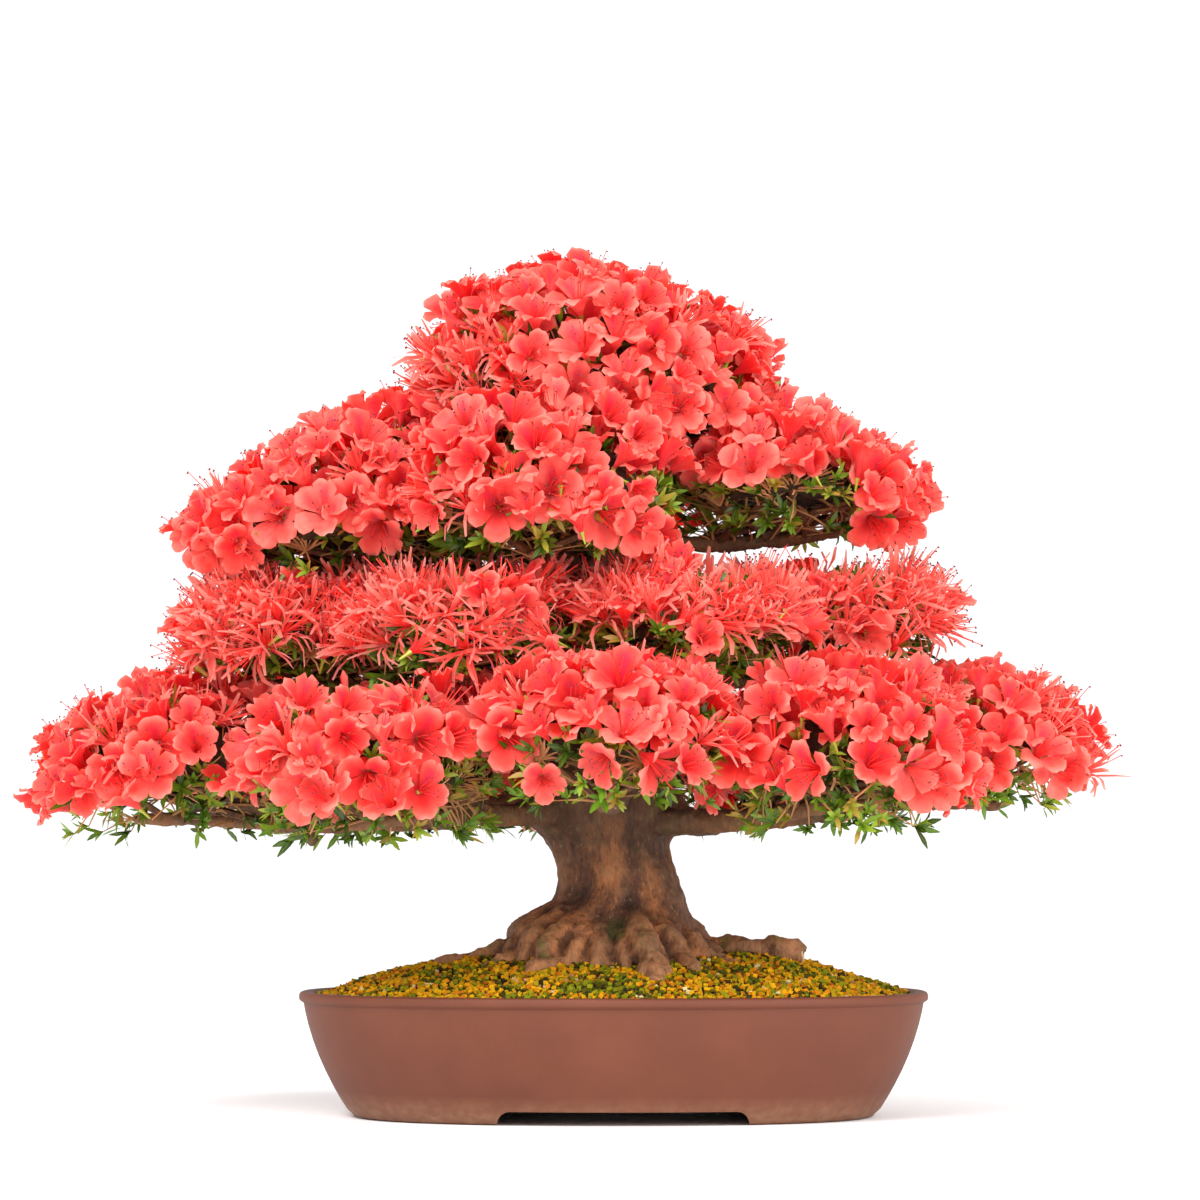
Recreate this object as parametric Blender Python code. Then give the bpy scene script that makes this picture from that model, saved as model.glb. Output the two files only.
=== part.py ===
"""A satsuki azalea bonsai in full flower, standing in its unglazed oval pot.

Metres, +Z up, the front towards -Y. The origin is on the table, under the middle of
the whole outline; the pot stands a little to the right of it because the crown
reaches further to the left. Every place below is measured from the pot's centre.
"""

import math
import random

import bmesh
import bpy
from mathutils import Matrix, Vector
from mathutils.bvhtree import BVHTree

MM = 0.001
GAP = 0.35 * MM  # clearance left between pieces that touch

# Pot
POT_OFFSET = 39 * MM  # pot centre, right of the middle of the whole outline
POT_LENGTH = 500 * MM
POT_DEPTH = 350 * MM
POT_HEIGHT = 98 * MM
OVAL_POWER = 2.35  # 2 is an ellipse, more is squarer
OVAL_SIDES = 40
BASE_INSET = 42 * MM  # how far the wall leans in from rim to foot
WALL = 12 * MM
LIP_HEIGHT = 7 * MM
LIP_STEP = 2.4 * MM
FOOT_HEIGHT = 10 * MM
FOOT_WIDTH = 24 * MM
FLOOR_TOP = 22 * MM
FOOT_GAP = 196 * MM  # width of the arch between the two feet
FOOT_GAP_X = 7 * MM  # the arch was cut this far right of the middle
DRAIN_RADIUS = 13 * MM
DRAIN_X = 92 * MM
SCREEN_SIZE = 42 * MM
SCREEN_THICK = 1.2 * MM
GRIT_THICK = 13 * MM

# Soil
SOIL_EDGE = 94 * MM  # height where the soil meets the wall
MOUND = 37 * MM  # rise from there to the trunk
MOUND_POWERS = (3.2, 1.9)  # along the pot and across it: higher is flatter on top and steeper at the wall
SOIL_BUMP = 1.6 * MM
SOIL_SIDES = OVAL_SIDES // 2

# Trunk: height, sideways place of its centre, half width, half depth
TRUNK = (
    (78, 0, 58, 50),
    (104, -4, 92, 74),
    (118, -6, 96, 76),
    (130, -8, 90, 68),
    (141, -8, 79, 60),
    (153, -5, 67, 54),
    (166, 3, 54, 48),
    (185, 3, 47, 44),
    (202, 0, 45, 42),
    (218, -4, 49, 43),
    (236, -8, 56, 44),
    (290, -13, 36, 34),
    (360, -18, 29, 27),
    (440, -20, 23, 21),
    (534, -18, 10, 10),
)
TRUNK_SIDES = 18

# Surface roots: bearing in degrees (0 right, 270 front), reach, thickness at the trunk and at the tip
ROOTS = (
    (358, 150, 15, 10),
    (323, 118, 13, 8),
    (306, 118, 14, 8),
    (287, 124, 17, 12),
    (238, 118, 16, 9),
    (212, 120, 15, 8),
    (186, 148, 14, 7),
    (140, 116, 15, 7),
    (92, 110, 16, 8),
    (44, 112, 15, 7),
)
ROOT_SIDES = 6
SAWN_ROOT = 0  # the root whose cut end stands clear of the soil

# Sprays. Each is a cloud of shoots on one branch: place of its centre, half width and half depth of the
# flower cushion, height of the branch, of the line where leaves meet flowers, and of the cushion's middle,
# and the shares by which the cushion grows higher towards the right and towards the back.
SPRAYS = {
    "low_left": dict(at=(-338, -5), half=(106, 102), levels=(238, 256, 332), lean=(0.12, 0), bloom="round"),
    "low_front_left": dict(at=(-178, -160), half=(92, 84), levels=(236, 254, 326), lean=(0, 0), bloom="round"),
    "low_front": dict(at=(0, -218), half=(84, 62), levels=(242, 280, 336), lean=(0, 0), bloom="round"),
    "low_front_right": dict(at=(170, -156), half=(82, 80), levels=(240, 264, 334), lean=(0, 0), bloom="round"),
    "low_right": dict(at=(268, 2), half=(97, 94), levels=(242, 274, 342), lean=(-0.12, 0), bloom="round"),
    "low_back_right": dict(at=(169, 158), half=(84, 80), levels=(238, 266, 328), lean=(0, 0), bloom="round"),
    "low_back": dict(at=(-2, 218), half=(82, 62), levels=(238, 268, 328), lean=(0, 0), bloom="strap"),
    "low_back_left": dict(at=(-174, 162), half=(90, 82), levels=(236, 258, 322), lean=(0, 0), bloom="round"),
    "middle_left": dict(at=(-238, -5), half=(104, 94), levels=(338, 364, 416), lean=(0, 0), bloom="strap"),
    "middle_front_left": dict(at=(-110, -128), half=(78, 60), levels=(342, 366, 412), lean=(0, 0), bloom="strap"),
    "middle_front_right": dict(at=(56, -128), half=(80, 60), levels=(344, 368, 412), lean=(0, 0), bloom="strap"),
    "middle_right": dict(at=(166, 0), half=(94, 90), levels=(350, 384, 424), lean=(0.3, 0), bloom="strap"),
    "middle_back": dict(at=(-28, 132), half=(118, 60), levels=(342, 368, 410), lean=(0, 0), bloom="strap"),
    "high_left": dict(at=(-208, 0), half=(116, 98), levels=(434, 456, 542), lean=(0.42, 0), bloom="round"),
    "high_front": dict(at=(-50, -122), half=(92, 60), levels=(438, 462, 544), lean=(0, 0.35), bloom="round"),
    "high_right": dict(at=(140, -6), half=(90, 94), levels=(460, 486, 548), lean=(-0.4, 0), bloom="round"),
    "high_back": dict(at=(-48, 122), half=(92, 60), levels=(440, 464, 542), lean=(0, -0.35), bloom="round"),
    "crown": dict(at=(-14, -2), half=(128, 110), levels=(532, 556, 658), lean=(-0.08, 0), bloom="round"),
}
DOME_POWER = 2.4  # how square-shouldered a flower cushion is
CUSHION_SIDES = 10
LEAF_CORE_SIDES = 8
LEAF_CORE_SHARE = 0.70  # leafy core's width beside the flower cushion's
LEAF_CORE_DROP = 8  # how far it hangs below the line of the branch
BRANCH_SIDES = 5
BRANCH_KNOTS = (0, 0.2, 0.45, 0.72, 1)

# Flowers, larger than life so that few of them still cover the cushions
FLOWER_RADIUS = {"round": 40 * MM, "strap": 42 * MM}
PETAL_SPREAD = {"round": 21, "strap": 0}  # half of a petal's width at its tip, in degrees
NOTCH_SHARE = {"round": 0.56, "strap": 0.34}  # depth of the cut between petals
FLOWER_HEIGHT = 25 * MM
THROAT_DEPTH = 12 * MM
STALK_RADIUS = 2.8 * MM
FLOWER_SPACING = 76 * MM
NUDGES = 40  # how often a flower looks for a free place near its own

# Leaves, also larger than life
LEAF_LENGTH = 32 * MM
LEAF_WIDTH = 11 * MM
LEAF_THICK = 2.2 * MM
LEAVES_A_SPRAY = 5
LEAF_TRIES = 90

COLOURS = {
    "pot_clay": ((0.262, 0.099, 0.064), 0.72),
    "screen_plastic": ((0.02, 0.02, 0.02), 0.6),
    "grit": ((0.42, 0.36, 0.27), 0.95),
    "soil_and_moss": ((0.36, 0.25, 0.03), 0.95),
    "bark": ((0.15, 0.068, 0.033), 0.85),
    "leaf_green": ((0.06, 0.13, 0.015), 0.5),
    "petal_coral": ((0.93, 0.12, 0.075), 0.55),
}


def material(name):
    """A plain material of one of the colours above."""
    found = bpy.data.materials.get(name)
    if found:
        return found
    colour, roughness = COLOURS[name]
    made = bpy.data.materials.new(name)
    made.use_nodes = True
    shader = made.node_tree.nodes["Principled BSDF"]
    shader.inputs["Base Color"].default_value = (*colour, 1)
    shader.inputs["Roughness"].default_value = roughness
    shader.inputs["Metallic"].default_value = 0
    made.diffuse_color = (*colour, 1)
    return made


def solid(name, points, faces, colour):
    """A mesh object of these points and faces, with its normals facing out."""
    mesh = bpy.data.meshes.new(name)
    mesh.from_pydata(points, [], faces)
    mesh.materials.append(material(colour))
    work = bmesh.new()
    work.from_mesh(mesh)
    bmesh.ops.recalc_face_normals(work, faces=work.faces)
    work.to_mesh(mesh)
    work.free()
    made = bpy.data.objects.new(name, mesh)
    bpy.context.scene.collection.objects.link(made)
    return made


def loft(rings):
    """Points and faces of a closed skin over rings that have the same number of points.

    Its sides are triangles, so that a shape and the hole made for it fold the same way.
    """
    sides = len(rings[0])
    points = [p for ring in rings for p in ring]
    faces = []
    for level in range(len(rings) - 1):
        low, high = level * sides, (level + 1) * sides
        for i in range(sides):
            j = (i + 1) % sides
            faces.append((low + i, low + j, high + j))
            faces.append((low + i, high + j, high + i))
    faces.append(tuple(reversed(range(sides))))
    faces.append(tuple(range(len(points) - sides, len(points))))
    return points, faces


def tube(path, radii, sides, twist=0.0):
    """Points and faces of a round bar along a path, with a radius at each point of it."""
    path = [Vector(p) for p in path]
    rings = []
    for i, centre in enumerate(path):
        ahead = path[min(i + 1, len(path) - 1)] - path[max(i - 1, 0)]
        turn = ahead.to_track_quat("Z", "Y")
        ring = []
        for k in range(sides):
            angle = math.tau * k / sides + twist
            ring.append(centre + turn @ Vector((math.cos(angle), math.sin(angle), 0)) * radii[i])
        rings.append(ring)
    return loft(rings)


def apply_modifiers(target):
    """Replaces an object's mesh with what its modifiers make of it."""
    graph = bpy.context.evaluated_depsgraph_get()
    made = bpy.data.meshes.new_from_object(target.evaluated_get(graph))
    target.modifiers.clear()
    target.data = made


def boolean(target, others, operation, solver="EXACT"):
    """Joins or cuts target with all the others at once, and removes them if they were joined."""
    group = bpy.data.collections.new("operands")
    for other in others:
        group.objects.link(other)
    step = target.modifiers.new("join or cut", "BOOLEAN")
    step.operand_type = "COLLECTION"
    step.collection = group
    step.operation = operation
    step.solver = solver
    bpy.context.view_layer.update()
    apply_modifiers(target)
    bpy.data.collections.remove(group)
    if operation == "UNION":
        for other in others:
            bpy.data.objects.remove(other)


def smooth(target, edge=50):
    """Shades a round piece smooth, with edges sharper than this many degrees kept crisp."""
    target.data.shade_smooth()
    target.data.set_sharp_from_angle(angle=math.radians(edge))


def keep_largest_piece(target):
    """Drops the loose scraps that a cut leaves."""
    work = bmesh.new()
    work.from_mesh(target.data)
    bmesh.ops.remove_doubles(work, verts=work.verts, dist=0.005 * MM)
    left, pieces = set(work.verts), []
    while left:
        piece, edge = set(), [left.pop()]
        while edge:
            vertex = edge.pop()
            piece.add(vertex)
            near = {e.other_vert(vertex) for e in vertex.link_edges} & left
            left -= near
            edge.extend(near)
        pieces.append(piece)
    pieces.sort(key=len)
    scraps = [v for piece in pieces[:-1] for v in piece]
    bmesh.ops.delete(work, geom=scraps, context="VERTS")
    work.to_mesh(target.data)
    work.free()


def oval(half_length, half_depth, height, sides=OVAL_SIDES):
    """One level ring of the pot's oval."""
    ring = []
    for i in range(sides):
        angle = math.tau * i / sides
        c, s = math.cos(angle), math.sin(angle)
        x = half_length * math.copysign(abs(c) ** (2 / OVAL_POWER), c)
        y = half_depth * math.copysign(abs(s) ** (2 / OVAL_POWER), s)
        ring.append((x, y, height))
    return ring


def inset_oval(inset, height, sides=OVAL_SIDES):
    """The rim's oval drawn in by inset, at a height."""
    return oval(POT_LENGTH / 2 - inset, POT_DEPTH / 2 - inset, height, sides)


def wall_inset(height):
    """How far the outside of the wall stands in from the rim at a height: a slightly full curve."""
    down = 1 - height / POT_HEIGHT
    return LIP_STEP + (BASE_INSET - LIP_STEP) * (0.3 * down + 0.7 * down**2)


def build_pot():
    """The clay pot: full-bodied wall, plain lip, two feet and two drain holes."""
    lip_low = POT_HEIGHT - LIP_HEIGHT
    rings = [inset_oval(wall_inset(0) + 4 * MM, 0)]
    for height in (3 * MM, 30 * MM, 60 * MM, lip_low):
        rings.append(inset_oval(wall_inset(height), height))
    rings += [
        inset_oval(0, lip_low + 1.5 * MM),
        inset_oval(0, POT_HEIGHT - 2 * MM),
        inset_oval(2 * MM, POT_HEIGHT),
        inset_oval(WALL, POT_HEIGHT),
        inset_oval(WALL + 1.5 * MM, POT_HEIGHT - 3 * MM),
        inset_oval(wall_inset(50 * MM) + WALL, 50 * MM),
        inset_oval(wall_inset(FLOOR_TOP) + WALL + 4 * MM, FLOOR_TOP),
    ]
    pot = solid("pot", *loft(rings), "pot_clay")
    below = -5 * MM
    cutters = []
    recess = [inset_oval(BASE_INSET + FOOT_WIDTH, z) for z in (below, FOOT_HEIGHT)]
    cutters.append(solid("recess", *loft(recess), "pot_clay"))
    arch = [
        (-FOOT_GAP / 2 - 10 * MM, below),
        (FOOT_GAP / 2 + 10 * MM, below),
        (FOOT_GAP / 2 + 6 * MM, 1 * MM),
        (FOOT_GAP / 2, FOOT_HEIGHT - 2 * MM),
        (FOOT_GAP / 2 - 4 * MM, FOOT_HEIGHT + 0.5 * MM),
        (-FOOT_GAP / 2 + 4 * MM, FOOT_HEIGHT + 0.5 * MM),
        (-FOOT_GAP / 2, FOOT_HEIGHT - 2 * MM),
        (-FOOT_GAP / 2 - 6 * MM, 1 * MM),
    ]
    faces_of_arch = [[(x + FOOT_GAP_X, side * POT_DEPTH, z) for x, z in arch] for side in (-0.6, 0.6)]
    cutters.append(solid("arch", *loft(faces_of_arch), "pot_clay"))
    for side in (-1, 1):
        ends = [(side * DRAIN_X, 0, below), (side * DRAIN_X, 0, FLOOR_TOP + 10 * MM)]
        cutters.append(solid("drain", *tube(ends, [DRAIN_RADIUS] * 2, 16), "pot_clay"))
    for cutter in cutters:
        boolean(pot, [cutter], "DIFFERENCE")
        bpy.data.objects.remove(cutter)
    smooth(pot)
    return pot


def build_screens():
    """The plastic nets that keep the soil from falling through the drain holes."""
    cells = 5
    step = SCREEN_SIZE / cells
    for name, side in (("drain_screen_left", -1), ("drain_screen_right", 1)):
        work = bmesh.new()
        bmesh.ops.create_grid(work, x_segments=cells, y_segments=cells, size=SCREEN_SIZE / 2)
        holes = []
        for face in work.faces:
            centre = face.calc_center_median() + Vector((SCREEN_SIZE / 2, SCREEN_SIZE / 2, 0))
            column, row = int(centre.x / step), int(centre.y / step)
            if column % 2 == 1 and row % 2 == 1:
                holes.append(face)
        bmesh.ops.delete(work, geom=holes, context="FACES")
        mesh = bpy.data.meshes.new(name)
        work.to_mesh(mesh)
        work.free()
        mesh.materials.append(material("screen_plastic"))
        screen = bpy.data.objects.new(name, mesh)
        bpy.context.scene.collection.objects.link(screen)
        screen.location = (side * DRAIN_X, 0, FLOOR_TOP + GAP + SCREEN_THICK / 2)
        thicken = screen.modifiers.new("thickness", "SOLIDIFY")
        thicken.thickness = SCREEN_THICK
        thicken.offset = 0


def inner_inset(height):
    """How far the inside of the wall stands in from the rim at a height."""
    levels = (
        (FLOOR_TOP, wall_inset(FLOOR_TOP) + WALL + 4 * MM),
        (50 * MM, wall_inset(50 * MM) + WALL),
        (POT_HEIGHT - 3 * MM, WALL + 1.5 * MM),
    )
    for (z0, i0), (z1, i1) in zip(levels, levels[1:]):
        if height <= z1 or z1 == levels[-1][0]:
            return i0 + (i1 - i0) * (height - z0) / (z1 - z0)


def build_grit():
    """The layer of coarse grit that drains the bottom of the pot."""
    low = FLOOR_TOP + SCREEN_THICK + 2 * GAP
    high = low + GRIT_THICK
    rings = [inset_oval(inner_inset(z) + 1.5 * GAP, z, SOIL_SIDES) for z in (low, high)]
    solid("drainage_grit", *loft(rings), "grit")
    return high


def soil_height(x, y):
    """The mounded surface of the soil at a place."""
    along = abs(x) / (POT_LENGTH / 2 - WALL)
    across = abs(y) / (POT_DEPTH / 2 - WALL)
    rise = max(0, 1 - along ** MOUND_POWERS[0] - across ** MOUND_POWERS[1])
    ripple = math.sin(x * 171 + 1.3) * math.sin(y * 193 + 0.4) + 0.6 * math.sin(x * 333) * math.cos(y * 291)
    return SOIL_EDGE + MOUND * rise + SOIL_BUMP * ripple * min(1, 4 * rise)


def build_soil(bottom, wood_cutter):
    """The soil: a block that fills the pot, mounded to the trunk, with the roots' own holes."""
    low = bottom + GAP
    levels = (low, 50 * MM, SOIL_EDGE - 2 * MM)
    rings = [inset_oval(inner_inset(z) + 1.5 * GAP, z, SOIL_SIDES) for z in levels]
    for share in (0.985, 0.9, 0.78, 0.62, 0.42, 0.18):
        ring = []
        for x, y, _ in inset_oval(WALL + 2 * MM, 0, SOIL_SIDES):
            ring.append((x * share, y * share, soil_height(x * share, y * share)))
        rings.append(ring)
    soil = solid("soil", *loft(rings), "soil_and_moss")
    boolean(soil, [wood_cutter], "DIFFERENCE", "MANIFOLD")
    keep_largest_piece(soil)
    smooth(soil)
    return soil


def trunk_row(height):
    """Centre, half width and half depth of the trunk at a height in millimetres."""
    for low, high in zip(TRUNK, TRUNK[1:]):
        if height <= high[0]:
            share = (height - low[0]) / (high[0] - low[0])
            return [a + (b - a) * share for a, b in zip(low[1:], high[1:])]
    return list(TRUNK[-1][1:])


def buttress(angle):
    """How strongly the trunk swells towards its roots at a bearing, from 0 to 1."""
    swell = 0.0
    for bearing, _, thick, _ in ROOTS:
        off = math.cos((angle - math.radians(bearing)) / 2)
        swell = max(swell, off**60 * thick / 19)
    return swell


def trunk_mesh(grow):
    """The fluted trunk from its underground foot to its leader, with every side moved out by grow."""
    rings = []
    for height, centre, half_width, half_depth in TRUNK:
        flare = max(0.0, min(1.0, (205 - height) / 90))
        ring = []
        for k in range(TRUNK_SIDES):
            angle = math.tau * k / TRUNK_SIDES
            flute = 1 - 0.17 * flare + 0.2 * flare * buttress(angle)
            flute += 0.035 * math.sin(3 * angle + height * 0.02) + 0.025 * math.sin(7 * angle + 1)
            x = centre * MM + (half_width * MM * flute + grow * 1.1) * math.cos(angle)
            y = (half_depth * MM * flute + grow * 1.1) * math.sin(angle)
            ring.append((x, y, height * MM))
        rings.append(ring)
    if grow:
        rings[0] = [(x, y, z - grow) for x, y, z in rings[0]]
        rings[-1] = [(x, y, z + grow) for x, y, z in rings[-1]]
    return loft(rings)


def root_path(bearing, reach, sawn):
    """The line of a surface root, which humps out of the trunk's foot and dips into the soil."""
    angle = math.radians(bearing)
    reach *= MM
    path = []
    for share in (0.22, 0.42, 0.6, 0.8, 1.0):
        out = reach * share
        sway = 7 * MM * math.sin(share * 6 + bearing)
        x = out * math.cos(angle) - sway * math.sin(angle)
        y = out * math.sin(angle) + sway * math.cos(angle)
        ground = soil_height(x, y)
        if share < 0.5:
            z = 150 * MM - 40 * MM * share
        else:
            z = ground + (0 if sawn else 2 - 6 * (share - 0.6) / 0.4) * MM
        path.append((x, y, z))
    return path


def spray_centre_line(name):
    """The line of the branch that carries a spray, from the trunk to beyond the spray's centre."""
    spray = SPRAYS[name]
    at = Vector((*spray["at"], 0)) * MM
    level = spray["levels"][0] * MM
    foot = level - (14 if name != "crown" else 70) * MM
    start = Vector((trunk_row(foot / MM)[0] * MM, 0, foot))
    out = at - Vector((start.x, 0, 0))
    out.z = 0
    reach = out.length + 0.45 * min(spray["half"]) * MM
    out.normalize()
    across = Vector((-out.y, out.x, 0))
    path = []
    for share in BRANCH_KNOTS:
        rise = min(1, share * 2.4)
        bow = 10 * MM * math.sin(share * 5 + spray["at"][0])
        point = start + out * reach * share + across * bow * min(1, 3 * share)
        point.z = foot + (level - foot) * rise + 4 * MM * math.sin(share * 7 + spray["at"][1])
        path.append(point)
    return path


def branch_radii(name):
    """Radii along a branch, thick in the lowest tier and thinner above."""
    tier = name.split("_")[0]
    first, last = {"low": (15, 5), "middle": (12, 4.5), "high": (12, 4.5), "crown": (8, 4)}[tier]
    return [(first + (last - first) * share**0.7) * MM for share in BRANCH_KNOTS]


def build_wood(name, grow=0.0):
    """Trunk, surface roots and branches as the one grown piece. With grow, the hole that it needs."""
    wood = solid(name, *trunk_mesh(grow), "bark")
    parts = []
    for i, (bearing, reach, thick, thin) in enumerate(ROOTS):
        radii = [(thick + (thin - thick) * share) * MM + grow * 1.2 for share in (0, 0.3, 0.5, 0.8, 1)]
        if i != SAWN_ROOT:
            radii[-1] = thin * 0.5 * MM + grow * 1.2
        path = [Vector(p) for p in root_path(bearing, reach, i == SAWN_ROOT)]
        path[-1] += (path[-1] - path[-2]).normalized() * grow
        parts.append(solid("root", *tube(path, radii, ROOT_SIDES), "bark"))
    for spray in SPRAYS:
        path = spray_centre_line(spray)
        radii = [r + grow * 1.2 for r in branch_radii(spray)]
        path[-1] = path[-1] + (path[-1] - path[-2]).normalized() * grow
        if spray != "crown":
            parts.append(solid("branch", *tube(path, radii, BRANCH_SIDES), "bark"))
    boolean(wood, parts, "UNION", "MANIFOLD")
    keep_largest_piece(wood)
    smooth(wood, 35)
    return wood


def dome_point(spray, angle, share):
    """A point of a spray's flower cushion: share is 0 at the top and 1 at the rim."""
    fall = share * math.pi / 2
    wide = math.sin(fall) ** (2 / DOME_POWER)
    tall = max(0.0, math.cos(fall)) ** (2 / DOME_POWER)
    _, split, top = spray["levels"]
    right, back = wide * math.cos(angle), wide * math.sin(angle)
    tall *= 1 + spray["lean"][0] * right + spray["lean"][1] * back
    x = spray["at"][0] + spray["half"][0] * right
    y = spray["at"][1] + spray["half"][1] * back
    return Vector((x, y, split + (top - split) * tall)) * MM


def dome_normal(spray, angle, share):
    """The outward direction of the cushion at a point of it."""
    here = dome_point(spray, angle, share)
    round_way = dome_point(spray, angle + 0.02, share) - here
    down = dome_point(spray, angle, share + 0.01) - here if share < 0.5 else here - dome_point(spray, angle, share - 0.01)
    return down.cross(round_way).normalized()


def cushion_mesh(spray):
    """The solid heart of the flower cushion, which the flowers stand out of."""
    rings = []
    for share in (1.0, 0.62, 0.24):
        ring = []
        for k in range(CUSHION_SIDES):
            ring.append(dome_point(spray, math.tau * k / CUSHION_SIDES, share))
        rings.append(ring)
    return loft(rings)


def petal_rim(kind):
    """Corners of a flower's outline seen from above, as angle, share of the radius and lift."""
    spread = math.radians(PETAL_SPREAD[kind])
    rim = []
    for petal in range(5):
        middle = math.tau * petal / 5
        for side in (-1, 1) if spread else (0,):
            rim.append((middle + side * spread, 1.0, 0.0))
        rim.append((middle + math.tau / 10, NOTCH_SHARE[kind], -3 * MM))
    return rim


def flower_mesh(kind, centre, normal, turn, scale):
    """One open flower: five petals round a sunken throat, on a stalk that runs into the cushion."""
    frame = normal.to_track_quat("Z", "Y") @ Matrix.Rotation(turn, 3, "Z").to_quaternion()
    radius = FLOWER_RADIUS[kind] * scale
    points = []
    for angle, reach, lift in petal_rim(kind):
        out = radius * reach
        points.append(Vector((out * math.cos(angle), out * math.sin(angle), FLOWER_HEIGHT * scale + lift)))
    corners = len(points)
    for height in (5 * MM, -9 * MM):
        for k in range(3):
            angle = math.tau * k / 3 + 0.3
            points.append(Vector((STALK_RADIUS * math.cos(angle), STALK_RADIUS * math.sin(angle), height)))
    throat = len(points)
    points.append(Vector((0, 0, (FLOWER_HEIGHT - THROAT_DEPTH) * scale)))
    faces = [(throat, i, (i + 1) % corners) for i in range(corners)]
    ends = [round(corners * k / 3) for k in range(4)]
    neck, foot = corners, corners + 3
    for k in range(3):
        after = (k + 1) % 3
        for i in range(ends[k], ends[k + 1]):
            faces.append((neck + k, (i + 1) % corners, i))
        faces.append((neck + k, neck + after, ends[k + 1] % corners))
        faces.append((neck + k, foot + k, foot + after, neck + after))
    faces.append((foot + 2, foot + 1, foot))
    return [centre + frame @ p for p in points], faces


def swollen(shape, share=1.04):
    """A shape's search tree, swollen a little about its middle so that a gap is left round it."""
    points, faces = shape
    middle = sum(points, Vector()) / len(points)
    return BVHTree.FromPolygons([middle + (p - middle) * share for p in points], faces)


def search_tree(shape):
    """The search tree of a shape as it is."""
    return BVHTree.FromPolygons([Vector(p) for p in shape[0]], shape[1])


def clear_of(tree, obstacles, owner):
    """Whether a shape crosses nothing that belongs to another node than its owner."""
    return not any(name != owner and tree.overlap(other) for name, other in obstacles)


def rows_on(spray):
    """Shares of the rows of flowers on a cushion, from its rim to its top, a spacing apart."""
    rows, share, gone = [], 0.88, 0.0
    rows.append(share)
    while share > 0.04:
        step = (dome_point(spray, 0, share) - dome_point(spray, 0, share - 0.02)).length
        share -= 0.02
        gone += step
        if gone > 0.82 * FLOWER_SPACING:
            rows.append(share)
            gone = 0.0
    return rows


def places_on(name):
    """Bearings and shares of the flowers on a cushion, row by row, with the rows out of step."""
    spray = SPRAYS[name]
    rng = random.Random("flowers of " + name)
    places = []
    for share in rows_on(spray):
        wide = math.sin(share * math.pi / 2) ** (2 / DOME_POWER)
        round_way = math.pi * (spray["half"][0] + spray["half"][1]) * wide * MM
        count = max(1, int(round_way / FLOWER_SPACING))
        start = rng.uniform(0, math.tau)
        for i in range(count):
            places.append((start + math.tau * (i + rng.uniform(-0.12, 0.12)) / count, share, 0.5 / count))
    return places, rng


def place_flowers(obstacles):
    """Stands a flower at every place where one fits, and adds it to what the rest must clear."""
    placed = []
    for name, spray in SPRAYS.items():
        places, rng = places_on(name)
        for angle, share, room in places:
            for nudge in range(NUDGES):
                sway = min(1.3, nudge / 12)
                bearing = angle + math.tau * room * sway * rng.uniform(-1, 1)
                height = min(0.99, max(0.02, share + 0.12 * sway * rng.uniform(-1, 1)))
                root = dome_point(spray, bearing, height)
                lean = Vector((rng.uniform(-0.2, 0.2), rng.uniform(-0.2, 0.2), 0.15 - 0.25 * height))
                normal = (dome_normal(spray, bearing, height) + lean).normalized()
                scale = rng.uniform(0.92, 1.04) - 0.02 * sway
                shape = flower_mesh(spray["bloom"], root, normal, rng.uniform(0, math.tau), scale)
                tree = swollen(shape)
                heart = root + normal * FLOWER_HEIGHT
                near = [p for p in placed if p[0] == name and (p[1] - heart).length < 0.74 * FLOWER_SPACING]
                if near or not clear_of(tree, obstacles, name):
                    continue
                placed.append((name, heart, shape))
                obstacles.append((name, tree))
                break
    return placed


def build_flowers(placed):
    """One node for each spray's flowers, joined to the cushion that they cover."""
    for name, spray in SPRAYS.items():
        node = solid("flowers_" + name, *cushion_mesh(spray), "petal_coral")
        blooms = [solid("bloom", *shape, "petal_coral") for owner, _, shape in placed if owner == name]
        boolean(node, blooms, "UNION", "MANIFOLD")
        keep_largest_piece(node)


def leaf_core_mesh(spray):
    """The leafy heart of a spray: flat where the flowers start, and rounding in to the branch below."""
    branch, split, _ = spray["levels"]
    top = split * MM - GAP
    deep = (split - branch + LEAF_CORE_DROP) * MM - 1 * MM
    rings = []
    for share, fall in ((0.35, 1.0), (0.85, 0.6), (1.0, 0.0)):
        ring = []
        for k in range(LEAF_CORE_SIDES):
            angle = math.tau * k / LEAF_CORE_SIDES
            x = (spray["at"][0] + spray["half"][0] * LEAF_CORE_SHARE * share * math.cos(angle)) * MM
            y = (spray["at"][1] + spray["half"][1] * LEAF_CORE_SHARE * share * math.sin(angle)) * MM
            ring.append((x, y, top - deep * fall))
        rings.append(ring)
    return loft(rings)


def leaf_mesh(root, ahead, turn):
    """One narrow leaf, thick along its rib, with its foot sunk in the leafy core."""
    frame = ahead.to_track_quat("Y", "Z") @ Matrix.Rotation(turn, 3, "Y").to_quaternion()
    points = [
        Vector((0, -7 * MM, 0)),
        Vector((LEAF_WIDTH / 2, LEAF_LENGTH * 0.55, 0)),
        Vector((0, LEAF_LENGTH, 0)),
        Vector((-LEAF_WIDTH / 2, LEAF_LENGTH * 0.55, 0)),
        Vector((0, LEAF_LENGTH * 0.45, LEAF_THICK / 2)),
        Vector((0, LEAF_LENGTH * 0.45, -LEAF_THICK / 2)),
    ]
    faces = []
    for i in range(4):
        j = (i + 1) % 4
        faces += [(i, j, 4), (j, i, 5)]
    return [root + frame @ p for p in points], faces


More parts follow.
